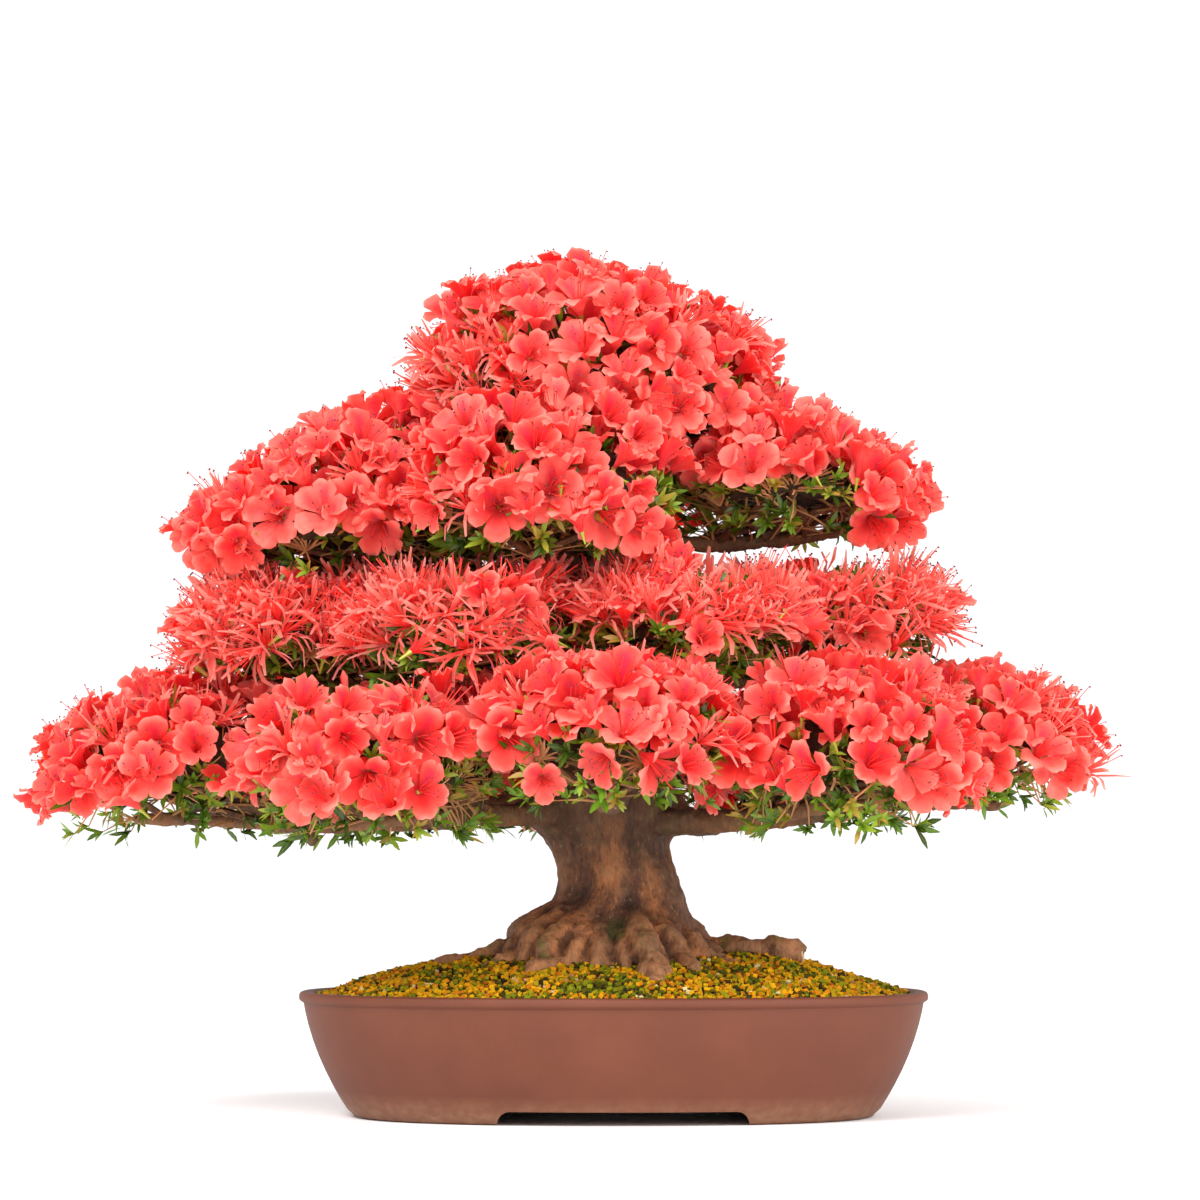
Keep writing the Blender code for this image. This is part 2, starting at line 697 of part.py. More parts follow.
def leaf_place(spray, rng):
    """Root, direction and turn of a leaf on the side of a leafy core."""
    angle = rng.uniform(0, math.tau)
    fall = rng.uniform(0.25, 0.85)
    share = LEAF_CORE_SHARE * (1 - 0.3 * fall**2)
    branch, split, _ = spray["levels"]
    root = Vector((
        spray["at"][0] + spray["half"][0] * share * math.cos(angle),
        spray["at"][1] + spray["half"][1] * share * math.sin(angle),
        split - (split - branch + LEAF_CORE_DROP) * fall,
    )) * MM
    ahead = Vector((math.cos(angle), math.sin(angle), rng.uniform(-0.8, 0.1))).normalized()
    return root, ahead, rng.uniform(-0.6, 0.6)


def build_leaves(obstacles, wood_cutter):
    """One node for each spray's leaves, joined to the core that they grow from."""
    for name, spray in SPRAYS.items():
        owner = "leaves of " + name
        node = solid("leaves_" + name, *leaf_core_mesh(spray), "leaf_green")
        rng = random.Random(owner)
        blades, middles = [], []
        for _ in range(LEAF_TRIES):
            root, ahead, turn = leaf_place(spray, rng)
            middle = root + ahead * LEAF_LENGTH * 0.5
            if len(blades) == LEAVES_A_SPRAY or any((middle - m).length < 17 * MM for m in middles):
                continue
            shape = leaf_mesh(root, ahead, turn)
            outside = leaf_mesh(root + ahead * 9 * MM, ahead, turn)
            if not clear_of(swollen(outside, 1.08), obstacles, owner):
                continue
            if not clear_of(swollen(shape), [o for o in obstacles if o[0] == "wood"], owner):
                continue
            middles.append(middle)
            obstacles.append((owner, swollen(shape)))
            blades.append(solid("leaf", *shape, "leaf_green"))
        boolean(node, blades, "UNION", "MANIFOLD")
        boolean(node, [wood_cutter], "DIFFERENCE", "MANIFOLD")
        keep_largest_piece(node)


def find_obstacles(wood_hole, soil):
    """Everything that a flower or a leaf must not cross, each with the name of what it belongs to."""
    found = []
    for owner, thing in (("wood", wood_hole), ("soil", soil)):
        points = [v.co.copy() for v in thing.data.vertices]
        found.append((owner, BVHTree.FromPolygons(points, [tuple(p.vertices) for p in thing.data.polygons])))
    for name, spray in SPRAYS.items():
        found.append((name, search_tree(cushion_mesh(spray))))
        found.append(("leaves of " + name, search_tree(leaf_core_mesh(spray))))
    return found


def main():
    for old in list(bpy.data.objects):
        bpy.data.objects.remove(old)
    build_pot()
    build_screens()
    grit_top = build_grit()
    build_wood("wood")
    cutter = build_wood("wood_hole", GAP)
    cutter.hide_render = True
    cutter.display_type = "WIRE"
    soil = build_soil(grit_top, cutter)
    obstacles = find_obstacles(cutter, soil)
    placed = place_flowers(obstacles)
    build_flowers(placed)
    build_leaves(obstacles, cutter)
    bpy.data.objects.remove(cutter)
    stand = bpy.data.objects.new("pot_centre", None)
    stand.location = (POT_OFFSET, 0, 0)
    bpy.context.scene.collection.objects.link(stand)
    for node in list(bpy.context.scene.objects):
        if node is not stand:
            node.parent = stand
    print("flowers placed:", len(placed))


main()
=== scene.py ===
import math
import random

import bpy
import numpy as np
from mathutils import Matrix, Vector
from mathutils.bvhtree import BVHTree

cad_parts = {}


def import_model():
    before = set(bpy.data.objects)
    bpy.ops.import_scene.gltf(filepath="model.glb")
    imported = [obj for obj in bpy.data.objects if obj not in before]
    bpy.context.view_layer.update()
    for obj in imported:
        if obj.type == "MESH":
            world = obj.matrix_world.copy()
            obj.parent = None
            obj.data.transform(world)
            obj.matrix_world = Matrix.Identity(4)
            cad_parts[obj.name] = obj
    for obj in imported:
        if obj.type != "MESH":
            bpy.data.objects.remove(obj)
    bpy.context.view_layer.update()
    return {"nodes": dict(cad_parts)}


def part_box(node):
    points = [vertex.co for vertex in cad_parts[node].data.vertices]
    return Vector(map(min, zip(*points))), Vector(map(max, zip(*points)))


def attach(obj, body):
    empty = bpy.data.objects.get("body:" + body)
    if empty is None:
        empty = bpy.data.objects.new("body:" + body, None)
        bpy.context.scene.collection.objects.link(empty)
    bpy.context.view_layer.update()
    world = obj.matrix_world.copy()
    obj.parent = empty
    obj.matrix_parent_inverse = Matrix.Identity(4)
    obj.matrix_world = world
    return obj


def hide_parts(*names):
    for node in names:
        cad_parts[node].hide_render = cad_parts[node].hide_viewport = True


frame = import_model()
print("frame loaded")

mm = 0.001
potLow, potHigh = [Vector(corner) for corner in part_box("pot")]
potCentre = Vector(((potLow.x + potHigh.x) / 2, (potLow.y + potHigh.y) / 2, 0))


# small tools for meshes

def deselectAll():
    if bpy.context.mode != "OBJECT":
        bpy.ops.object.mode_set(mode="OBJECT")
    bpy.ops.object.select_all(action="DESELECT")


def pick(piece):
    deselectAll()
    piece.select_set(True)
    bpy.context.view_layer.objects.active = piece


def editVerts(piece, chosen):  # edit mode with the vertices selected for which chosen(co) is true
    pick(piece)
    bpy.ops.object.mode_set(mode="EDIT")
    bpy.ops.mesh.select_all(action="DESELECT")
    bpy.ops.object.mode_set(mode="OBJECT")
    for vertex in piece.data.vertices:
        vertex.select = chosen(vertex.co)
    bpy.ops.object.mode_set(mode="EDIT")
    bpy.ops.mesh.select_mode(type="VERT")


def applied(piece, kind, **settings):
    pick(piece)
    step = piece.modifiers.new(kind.lower(), kind)
    for name, value in settings.items():
        setattr(step, name, value)
    bpy.ops.object.modifier_apply(modifier=step.name)
    return piece


def placed(piece):  # puts an object's place into its mesh
    pick(piece)
    bpy.ops.object.transform_apply(location=True, rotation=True, scale=True)
    return piece


def copyOf(piece):
    twin = piece.copy()
    twin.data = piece.data.copy()
    bpy.context.collection.objects.link(twin)
    return twin


def joined(pieces, name):
    pick(pieces[0])
    for piece in pieces:
        piece.select_set(True)
    bpy.ops.object.join()
    pieces[0].name = name
    return pieces[0]


def smoothed(piece, degrees=60):
    pick(piece)
    bpy.ops.object.shade_smooth_by_angle(angle=math.radians(degrees))
    return piece


def coordinates(piece):
    spots = np.empty(len(piece.data.vertices) * 3)
    piece.data.vertices.foreach_get("co", spots)
    return spots.reshape(-1, 3)


def moulded(piece, shape):  # moves every vertex as shape(coordinates) says
    piece.data.vertices.foreach_set("co", np.ascontiguousarray(shape(coordinates(piece))).ravel())
    piece.data.update()
    return piece


def removed(piece):
    bpy.data.objects.remove(piece)


# copies of a modelled shape, as one mesh with the tint of each copy in an attribute

def shapeOf(piece):
    mesh = piece.data
    loops = len(mesh.loops)
    corner, uv = np.empty(loops, int), np.zeros(loops * 2)
    start, total = np.empty(len(mesh.polygons), int), np.empty(len(mesh.polygons), int)
    slot = np.empty(len(mesh.polygons), int)
    mesh.loops.foreach_get("vertex_index", corner)
    mesh.polygons.foreach_get("loop_start", start)
    mesh.polygons.foreach_get("loop_total", total)
    mesh.polygons.foreach_get("material_index", slot)
    if mesh.uv_layers:
        mesh.uv_layers[0].uv.foreach_get("vector", uv)
    spot = np.zeros(len(mesh.vertices))
    if "spot" in mesh.attributes:
        mesh.attributes["spot"].data.foreach_get("value", spot)
    materials = [m for m in mesh.materials]
    return dict(co=coordinates(piece), corner=corner, start=start, total=total, slot=slot,
                uv=uv.reshape(-1, 2), spot=spot, materials=materials)


def fused(name, groups):  # groups: (shape, matrices, tints)
    materials, co, corner, total, slot, uv, spot, tint = [], [], [], [], [], [], [], []
    vertexCount = 0
    for shape, matrices, tints in groups:
        if not len(matrices):
            continue
        index = []
        for material in shape["materials"]:
            if material not in materials:
                materials.append(material)
            index.append(materials.index(material))
        index = np.array(index or [0])
        grid = np.array([np.array(m) for m in matrices])
        spots = np.einsum("kij,nj->kni", grid[:, :3, :3], shape["co"]) + grid[:, None, :3, 3]
        copies, size = len(matrices), len(shape["co"])
        co.append(spots.reshape(-1, 3))
        steps = vertexCount + np.arange(copies) * size
        corner.append((shape["corner"][None] + steps[:, None]).ravel())
        total.append(np.tile(shape["total"], copies))
        slot.append(np.tile(index[shape["slot"]], copies))
        uv.append(np.tile(shape["uv"], (copies, 1)))
        spot.append(np.tile(shape["spot"], copies))
        tint.append(np.repeat(np.array(tints, float), size))
        vertexCount += copies * size
    co, corner, total = np.concatenate(co), np.concatenate(corner), np.concatenate(total)
    mesh = bpy.data.meshes.new(name)
    mesh.vertices.add(len(co))
    mesh.vertices.foreach_set("co", co.ravel())
    mesh.loops.add(len(corner))
    mesh.loops.foreach_set("vertex_index", corner)
    mesh.polygons.add(len(total))
    mesh.polygons.foreach_set("loop_start", np.concatenate([[0], np.cumsum(total)[:-1]]))
    mesh.polygons.foreach_set("material_index", np.concatenate(slot))
    mesh.update(calc_edges=True)
    mesh.uv_layers.new(name="UVMap")
    mesh.uv_layers[0].uv.foreach_set("vector", np.concatenate(uv).ravel())
    for label, values in (("spot", np.concatenate(spot)), ("tint", np.concatenate(tint))):
        mesh.attributes.new(label, "FLOAT", "POINT").data.foreach_set("value", values)
    for material in materials:
        mesh.materials.append(material)
    piece = bpy.data.objects.new(name, mesh)
    bpy.context.collection.objects.link(piece)
    return smoothed(piece, 60)


def worn(piece, slot, *nodes):  # rides on the one body and stands for CAD nodes, which it hides
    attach(piece, "root")
    if nodes:
        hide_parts(*nodes)


# materials

def hexColour(code):
    channels = [int(code[i:i + 2], 16) / 255 for i in (1, 3, 5)]
    return [c / 12.92 if c <= 0.04045 else ((c + 0.055) / 1.055) ** 2.4 for c in channels] + [1]


def addNode(tree, kind, settings=None, links=None):  # links: socket of the new node -> socket it reads
    node = tree.nodes.new("ShaderNode" + kind)
    for name, value in (settings or {}).items():
        if isinstance(name, str) and hasattr(node, name):
            setattr(node, name, value)
        else:
            node.inputs[name].default_value = value
    for name, source in (links or {}).items():
        tree.links.new(source, node.inputs[name])
    return node


def newMaterial(name):
    material = bpy.data.materials.new(name)
    material.use_nodes = True
    tree = material.node_tree
    shader = tree.nodes["Principled BSDF"]
    return material, tree, shader, tree.nodes["Material Output"]


def ramp(tree, factor, stops, mode="LINEAR"):
    node = addNode(tree, "ValToRGB", {}, {"Fac": factor})
    node.color_ramp.interpolation = mode
    elements = node.color_ramp.elements
    while len(elements) < len(stops):
        elements.new(0.5)
    for element, (place, colour) in zip(elements, stops):
        element.position = place
        element.color = hexColour(colour)
    return node.outputs["Color"]


def mixed(tree, factor, first, second, blend="MIX"):
    node = addNode(tree, "Mix", {"data_type": "RGBA", "blend_type": blend})
    for socket, source in ((0, factor), (6, first), (7, second)):
        if isinstance(source, (int, float)):
            node.inputs[socket].default_value = source
        elif isinstance(source, str):
            node.inputs[socket].default_value = hexColour(source)
        else:
            tree.links.new(source, node.inputs[socket])
    return node.outputs[2]


def mathNode(tree, operation, first, second=0.0, clamp=False):
    node = addNode(tree, "Math", {"operation": operation, "use_clamp": clamp})
    for socket, source in ((0, first), (1, second)):
        if isinstance(source, (int, float)):
            node.inputs[socket].default_value = source
        else:
            tree.links.new(source, node.inputs[socket])
    return node.outputs[0]


def noise(tree, millimetres, detail=3.0, rough=0.55, vector=None):
    where = vector or addNode(tree, "TexCoord").outputs["Object"]
    return addNode(tree, "TexNoise", {"Scale": 1 / (millimetres * mm), "Detail": detail, "Roughness": rough},
                   {"Vector": where}).outputs["Fac"]


def bumped(tree, shader, height, distance, strength=1.0):
    bump = addNode(tree, "Bump", {"Distance": distance * mm, "Strength": strength}, {"Height": height})
    tree.links.new(bump.outputs["Normal"], shader.inputs["Normal"])


petalLook = dict(
    throat="#EE1626", heart="#FA3432", body="#FF5E4B", edge="#FFB5A4", blotch="#EE2A60",
    strapBody="#FF6E5C", strapTip="#FFB0A0",
    through=0.64,  # share of light that passes the petal
)


def petalSkin(name, look, strap=False):
    # thin living petal, soft and slightly waxy: light glows through it, so it is part translucent
    material, tree, shader, output = newMaterial(name)
    uv = addNode(tree, "UVMap").outputs["UV"]
    place = addNode(tree, "SeparateXYZ", {}, {0: uv})
    across, along = place.outputs[0], place.outputs[1]
    tint = addNode(tree, "Attribute", {"attribute_name": "tint"}).outputs["Fac"]
    spot = addNode(tree, "Attribute", {"attribute_name": "spot"}).outputs["Fac"]
    wander = mathNode(tree, "MULTIPLY_ADD", noise(tree, 6), 0.22)
    tree.nodes[-1].inputs[2].default_value = -0.11
    way = mathNode(tree, "ADD", along, wander)
    if strap:
        stops = [(0.0, look["throat"]), (0.3, look["heart"]), (0.7, look["strapBody"]), (1.0, look["strapTip"])]
    else:
        stops = [(0.2, look["throat"]), (0.42, look["heart"]), (0.66, look["body"]), (1.05, look["edge"])]
    colour = ramp(tree, way, stops)
    side = mathNode(tree, "ABSOLUTE", mathNode(tree, "SUBTRACT", across, 0.5))
    margin = mathNode(tree, "MULTIPLY", mathNode(tree, "POWER", mathNode(tree, "MULTIPLY", side, 2.0), 3.0), along)
    colour = mixed(tree, mathNode(tree, "MULTIPLY", margin, 0.25), colour, look["edge"])
    patchy = mathNode(tree, "MULTIPLY", mathNode(tree, "SUBTRACT", noise(tree, 13), 0.25), 2.0, True)
    pale = mathNode(tree, "MULTIPLY", mathNode(tree, "MULTIPLY", mathNode(tree, "POWER", tint, 1.4), patchy), 0.8)
    colour = mixed(tree, pale, colour, look["edge"])
    # five or so fine veins run out from the throat, about 1.5 mm apart
    vein = addNode(tree, "TexWave", {"Scale": 5.0, "Distortion": 2.5, "Detail": 1.0, "bands_direction": "X"},
                   {"Vector": uv}).outputs["Fac"]
    veins = mathNode(tree, "MULTIPLY", mathNode(tree, "POWER", vein, 6.0), 0.22)
    colour = mixed(tree, veins, colour, look["throat"])
    # the upper petal of a round flower has a freckled magenta blotch
    freckle = mathNode(tree, "GREATER_THAN", noise(tree, 1.6, 1.0), 0.47)
    zone = mathNode(tree, "MULTIPLY", mathNode(tree, "SUBTRACT", 0.34, side), 4.0, True)
    reach = mathNode(tree, "MULTIPLY", mathNode(tree, "SUBTRACT", 0.78, along), 4.0, True)
    blotch = mathNode(tree, "MULTIPLY", mathNode(tree, "MULTIPLY", zone, reach), spot)
    dotted = mathNode(tree, "ADD", mathNode(tree, "MULTIPLY", freckle, 0.25), 0.45)
    colour = mixed(tree, mathNode(tree, "MULTIPLY", blotch, dotted), colour, look["blotch"])
    tree.links.new(colour, shader.inputs["Base Color"])
    shader.inputs["Roughness"].default_value = 0.45
    shader.inputs["IOR"].default_value = 1.38
    shader.inputs["Specular IOR Level"].default_value = 0.6
    shader.inputs["Sheen Weight"].default_value = 0.3
    bumped(tree, shader, vein, 0.12, 0.5)
    glow = addNode(tree, "BsdfTranslucent", {}, {"Color": colour})
    blend = addNode(tree, "MixShader", {"Fac": look["through"]}, {1: shader.outputs[0], 2: glow.outputs[0]})
    tree.links.new(blend.outputs[0], output.inputs["Surface"])
    return material


def plainLiving(name, colour, roughness=0.5):
    # filaments, anthers and stalks: fresh plant tissue with a little shade along it
    material, tree, shader, output = newMaterial(name)
    base = mixed(tree, mathNode(tree, "MULTIPLY", noise(tree, 4), 0.5), colour[0], colour[1])
    tree.links.new(base, shader.inputs["Base Color"])
    shader.inputs["Roughness"].default_value = roughness
    shader.inputs["IOR"].default_value = 1.4
    return material


leafLook = dict(dark="#25340C", deep="#415F12", fresh="#66901B", bright="#9DB637", olive="#B3903A", through=0.3)


def leafSkin(look):
    # small leathery evergreen leaf: waxy top with a soft shine, paler rib and margin
    material, tree, shader, output = newMaterial("waxy azalea leaf")
    uv = addNode(tree, "UVMap").outputs["UV"]
    place = addNode(tree, "SeparateXYZ", {}, {0: uv})
    tint = addNode(tree, "Attribute", {"attribute_name": "tint"}).outputs["Fac"]
    colour = ramp(tree, tint, [(0.0, look["dark"]), (0.3, look["deep"]), (0.58, look["fresh"]),
                               (0.86, look["bright"]), (1.0, look["olive"])])
    side = mathNode(tree, "ABSOLUTE", mathNode(tree, "SUBTRACT", place.outputs[0], 0.5))
    rib = mathNode(tree, "LESS_THAN", side, 0.06)
    colour = mixed(tree, mathNode(tree, "MULTIPLY", rib, 0.35), colour, look["bright"])
    colour = mixed(tree, mathNode(tree, "MULTIPLY", noise(tree, 5), 0.4), colour, look["deep"])
    tree.links.new(colour, shader.inputs["Base Color"])
    shader.inputs["Roughness"].default_value = 0.38
    shader.inputs["IOR"].default_value = 1.45
    bumped(tree, shader, side, 0.3, 0.6)
    glow = addNode(tree, "BsdfTranslucent", {}, {"Color": colour})
    blend = addNode(tree, "MixShader", {"Fac": look["through"]}, {1: shader.outputs[0], 2: glow.outputs[0]})
    tree.links.new(blend.outputs[0], output.inputs["Surface"])
    return material


barkLook = dict(dark="#26150B", brown="#6E452E", tan="#AE6D3E", pink="#A8745E", limb="#432A18", lichen="#6C6438",
                flake="#C89868", root="#B4774A", moss="#4E6420")


def barkSkin(look):
    # thin satsuki bark: smooth over the muscle of the wood, flaking in fine upright flecks, tan where it is new
    material, tree, shader, output = newMaterial("azalea bark")
    where = addNode(tree, "TexCoord").outputs["Object"]
    upright = addNode(tree, "Mapping", {"Scale": (1.0, 1.0, 0.42)}, {"Vector": where}).outputs[0]
    height = addNode(tree, "SeparateXYZ", {}, {0: where}).outputs[2]
    broad = noise(tree, 38, 4.0, 0.6, upright)
    fleck = noise(tree, 5.5, 6.0, 0.68, upright)
    fine = noise(tree, 2.6, 5.0, 0.75, upright)
    furrows = addNode(tree, "Mapping", {"Scale": (1.0, 1.0, 0.13)}, {"Vector": where}).outputs[0]
    furrow = noise(tree, 7, 4.0, 0.6, furrows)
    colour = ramp(tree, broad, [(0.32, look["dark"]), (0.46, look["brown"]), (0.6, look["tan"]), (0.78, look["pink"])])
    low = mathNode(tree, "MULTIPLY", mathNode(tree, "SUBTRACT", 0.165, height), 20.0, True)
    colour = mixed(tree, mathNode(tree, "MULTIPLY", low, 0.55), colour, look["root"])
    for pattern, start, rise, share, tone in ((furrow, 0.5, 6.0, 0.42, "dark"), (fleck, 0.51, 8.0, 0.55, "dark"),
                                              (fine, 0.53, 9.0, 0.6, "dark")):
        amount = mathNode(tree, "MULTIPLY", mathNode(tree, "SUBTRACT", pattern, start), rise, True)
        colour = mixed(tree, mathNode(tree, "MULTIPLY", amount, share), colour, look[tone])
    pale = mathNode(tree, "MULTIPLY", mathNode(tree, "SUBTRACT", 0.43, fine), 9.0, True)
    colour = mixed(tree, mathNode(tree, "MULTIPLY", pale, 0.55), colour, look["flake"])
    # painted shade darkens the hollows, and the ridges are made paler
    hollow = addNode(tree, "Attribute", {"attribute_name": "hollow"}).outputs["Fac"]
    paleRidges = mathNode(tree, "MULTIPLY", mathNode(tree, "MULTIPLY", hollow, -0.5, True), 0.22)
    colour = mixed(tree, paleRidges, colour, look["flake"])
    # painted shade: the deeper a point lies in a hollow, the darker its colour
    shade = mathNode(tree, "MULTIPLY", mathNode(tree, "MULTIPLY", hollow, 0.45, True), 0.7)
    colour = mixed(tree, shade, colour, look["dark"])
    # the limbs and the top of the trunk are darker, partly their own bark colour and partly painted shade from the
    # cushions above, with patches of lichen
    high = mathNode(tree, "MULTIPLY", mathNode(tree, "SUBTRACT", height, 0.18), 18.0, True)
    colour = mixed(tree, mathNode(tree, "MULTIPLY", high, 0.6), colour, look["limb"])
    patch = mathNode(tree, "MULTIPLY", mathNode(tree, "SUBTRACT", noise(tree, 11, 5.0), 0.52), 6.0, True)
    colour = mixed(tree, mathNode(tree, "MULTIPLY", mathNode(tree, "MULTIPLY", high, patch), 0.35), colour, look["lichen"])
    normal = addNode(tree, "NewGeometry").outputs["Normal"]
    up = addNode(tree, "SeparateXYZ", {}, {0: normal}).outputs[2]
    cushion = mathNode(tree, "MULTIPLY", mathNode(tree, "GREATER_THAN", noise(tree, 22, 3.0), 0.6), low)
    mossy = mathNode(tree, "MULTIPLY", cushion, mathNode(tree, "MULTIPLY", mathNode(tree, "ADD", up, 0.2), 2.0, True))
    colour = mixed(tree, mathNode(tree, "MULTIPLY", mossy, 0.85), colour, look["moss"])
    tree.links.new(colour, shader.inputs["Base Color"])
    shader.inputs["Roughness"].default_value = 0.72
    shader.inputs["IOR"].default_value = 1.45
    relief = mathNode(tree, "ADD", mathNode(tree, "MULTIPLY", fleck, 0.6), mathNode(tree, "MULTIPLY", fine, 0.4))
    relief = mathNode(tree, "SUBTRACT", relief, mathNode(tree, "MULTIPLY", furrow, 0.8))
    bumped(tree, shader, relief, 3.0, 1.0)
    return material


clayLook = dict(body="#65321C", dark="#5B2B18", light="#713D27", bloom="#A07858")


def claySkin(look):
    # unglazed stoneware, burnished smooth and fired red-brown: matt, faintly mottled, with a pale salt bloom low down
    material, tree, shader, output = newMaterial("unglazed stoneware")
    where = addNode(tree, "TexCoord").outputs["Object"]
    height = addNode(tree, "SeparateXYZ", {}, {0: where}).outputs[2]
    broad = noise(tree, 60, 3.0)
    colour = ramp(tree, broad, [(0.35, look["dark"]), (0.5, look["body"]), (0.7, look["light"])])
    colour = mixed(tree, 0.6, colour, look["body"])
    grain = noise(tree, 1.2, 2.0)
    colour = mixed(tree, mathNode(tree, "MULTIPLY", grain, 0.22), colour, look["dark"])
    salt = mathNode(tree, "MULTIPLY", mathNode(tree, "SUBTRACT", 0.022, height), 60.0, True)
    salt = mathNode(tree, "MULTIPLY", salt, mathNode(tree, "POWER", noise(tree, 9, 4.0), 1.5))
    colour = mixed(tree, mathNode(tree, "MULTIPLY", salt, 0.9), colour, look["bloom"])
    tree.links.new(colour, shader.inputs["Base Color"])
    shader.inputs["Roughness"].default_value = 0.62
    shader.inputs["IOR"].default_value = 1.5
    shader.inputs["Specular IOR Level"].default_value = 0.4
    bumped(tree, shader, noise(tree, 0.9, 3.0), 0.12, 0.5)
    return material


grainLook = dict(stops=[(0.0, "#23170C"), (0.14, "#4E4C06"), (0.3, "#7C850A"), (0.5, "#C09606"),
                        (0.7, "#E6AA08"), (0.87, "#D6840A"), (0.97, "#A0520D"), (1.0, "#E8D79A")])


def grainSkin(look):
    # baked clay grains, golden where dry and green where algae grow on them, each grain of one colour
    material, tree, shader, output = newMaterial("granular soil")
    tint = addNode(tree, "Attribute", {"attribute_name": "tint"}).outputs["Fac"]
    colour = ramp(tree, tint, look["stops"])
    colour = mixed(tree, mathNode(tree, "MULTIPLY", noise(tree, 2.0), 0.4), colour, "#4A3602")
    tree.links.new(colour, shader.inputs["Base Color"])
    shader.inputs["Roughness"].default_value = 0.8
    shader.inputs["Specular IOR Level"].default_value = 0.15
    bumped(tree, shader, noise(tree, 0.8), 0.3, 0.6)
    return material


def soilSkin():
    # damp dark earth under the grains, with flat green moss
    material, tree, shader, output = newMaterial("damp earth and moss")
    colour = ramp(tree, noise(tree, 9, 4.0), [(0.4, "#1E130A"), (0.52, "#33240E"), (0.62, "#3C460E")])
    tree.links.new(colour, shader.inputs["Base Color"])
    shader.inputs["Roughness"].default_value = 0.95
    bumped(tree, shader, noise(tree, 2.0), 1.2)
    return material


def paintedShadeSkin():
    # painted shade: a dark stand-in for the stalks and leaves in the middle of a cushion, seen only through gaps
    material, tree, shader, output = newMaterial("painted shade of inner leaves and stalks")
    clumps = noise(tree, 8, 5.0, 0.7)
    colour = ramp(tree, clumps, [(0.36, "#170D06"), (0.46, "#3A1E10"), (0.54, "#2A3009"), (0.64, "#5A3A1C")])
    tree.links.new(colour, shader.inputs["Base Color"])
    shader.inputs["Roughness"].default_value = 0.9
    bumped(tree, shader, clumps, 8.0)
    return material


paintedShadeInside = paintedShadeSkin()
roundPetal = petalSkin("round azalea petal", petalLook)
strapPetal = petalSkin("strap azalea petal", petalLook, strap=True)
filament = plainLiving("red filament", ("#F0463A", "#D92A26"), 0.45)
anther = plainLiving("maroon anther", ("#5A1420", "#7A2A2A"), 0.6)
stalkGreen = plainLiving("green stalk and calyx", ("#A4A83C", "#7E8F34"), 0.5)
twigBrown = plainLiving("azalea twig", ("#CC9A64", "#7A4E2E"), 0.8)
sawnWood = plainLiving("weathered sawn wood", ("#D8BE98", "#A98A66"), 0.8)
waxyLeaf = leafSkin(leafLook)
bark = barkSkin(barkLook)
clay = claySkin(clayLook)
grainClay = grainSkin(grainLook)
earth = soilSkin()
print("materials made")


# the cushions of bloom, in millimetres from the pot's centre

sprays = {  # middle, half widths, heights of branch, leaves and top, rise to the right and back, kind of bloom
    "low_left": ((-338, -5), (106, 102), (231, 256, 328), (0.12, 0), "round"),
    "low_front_left": ((-178, -160), (92, 84), (231, 254, 326), (0, 0), "round"),
    "low_front": ((0, -218), (84, 62), (242, 280, 336), (0, 0), "round"),
    "low_front_right": ((170, -156), (82, 80), (240, 264, 334), (0, 0), "round"),
    "low_right": ((268, 2), (99, 94), (244, 282, 336), (-0.06, 0), "round"),
    "low_back_right": ((169, 158), (84, 80), (238, 266, 328), (0, 0), "round"),
    "low_back": ((-2, 218), (82, 62), (238, 268, 328), (0, 0), "strap"),
    "low_back_left": ((-174, 162), (90, 82), (236, 258, 322), (0, 0), "round"),
    "middle_left": ((-235, -5), (97, 92), (338, 364, 416), (0, 0), "strap"),
    "middle_front_left": ((-110, -128), (78, 60), (342, 366, 412), (0, 0), "strap"),
    "middle_front_right": ((56, -128), (80, 60), (344, 368, 412), (0, 0), "strap"),
    "middle_right": ((164, 0), (90, 90), (350, 384, 424), (0.3, 0), "strap"),
    "middle_back": ((-28, 132), (118, 60), (342, 368, 410), (0, 0), "strap"),
    "high_left": ((-209, 0), (121, 98), (434, 451, 540), (0.56, 0), "round"),
    "high_front": ((-50, -122), (92, 60), (438, 462, 544), (0, 0.35), "round"),
    "high_right": ((141, -6), (91, 94), (460, 486, 544), (-0.4, 0), "round"),
    "high_back": ((-48, 122), (92, 60), (440, 464, 542), (0, -0.35), "round"),
    "crown": ((-13, -2), (131, 112), (532, 556, 655), (-0.16, 0), "round"),
}
domePower = 2.4
branchSizes = {"low": (14, 5), "middle": (12, 4.5), "high": (12, 4.5), "crown": (8, 4)}  # radius at trunk and end


def world(point):  # millimetres from the pot's centre -> metres in the frame
    return Vector(point) * mm + potCentre


def depthIn(name, point):  # under 1 inside a cushion
    middle, half, (branch, split, top), lean, _ = sprays[name]
    right, back = (point[0] - middle[0]) / half[0], (point[1] - middle[1]) / half[1]
    across = math.hypot(right, back)
    if point[2] >= split:
        tall = (point[2] - split) / (top - split) / max(0.4, 1 + lean[0] * right + lean[1] * back)
    else:
        tall = (split - point[2]) / (split - branch + 8)
    return (across ** domePower + tall ** domePower) ** (1 / domePower)


def domeSpot(name, angle, fall, grow=0.0):  # a point of the cushion, fall 0 at its top and 1 at its edge
    middle, half, (branch, split, top), lean, _ = sprays[name]
    wide = math.sin(fall * math.pi / 2) ** (2 / domePower)
    tall = math.cos(fall * math.pi / 2) ** (2 / domePower)
    right, back = wide * math.cos(angle), wide * math.sin(angle)
    tall *= 1 + lean[0] * right + lean[1] * back
    return Vector((middle[0] + (half[0] + grow) * right, middle[1] + (half[1] + grow) * back,
                   split + (top - split + grow) * tall))


def domeNormal(name, angle, fall):
    here = domeSpot(name, angle, fall)
    sideways = domeSpot(name, angle + 0.02, fall) - here
    down = domeSpot(name, angle, fall + 0.01) - here if fall < 0.5 else here - domeSpot(name, angle, fall - 0.01)
    return down.cross(sideways).normalized()


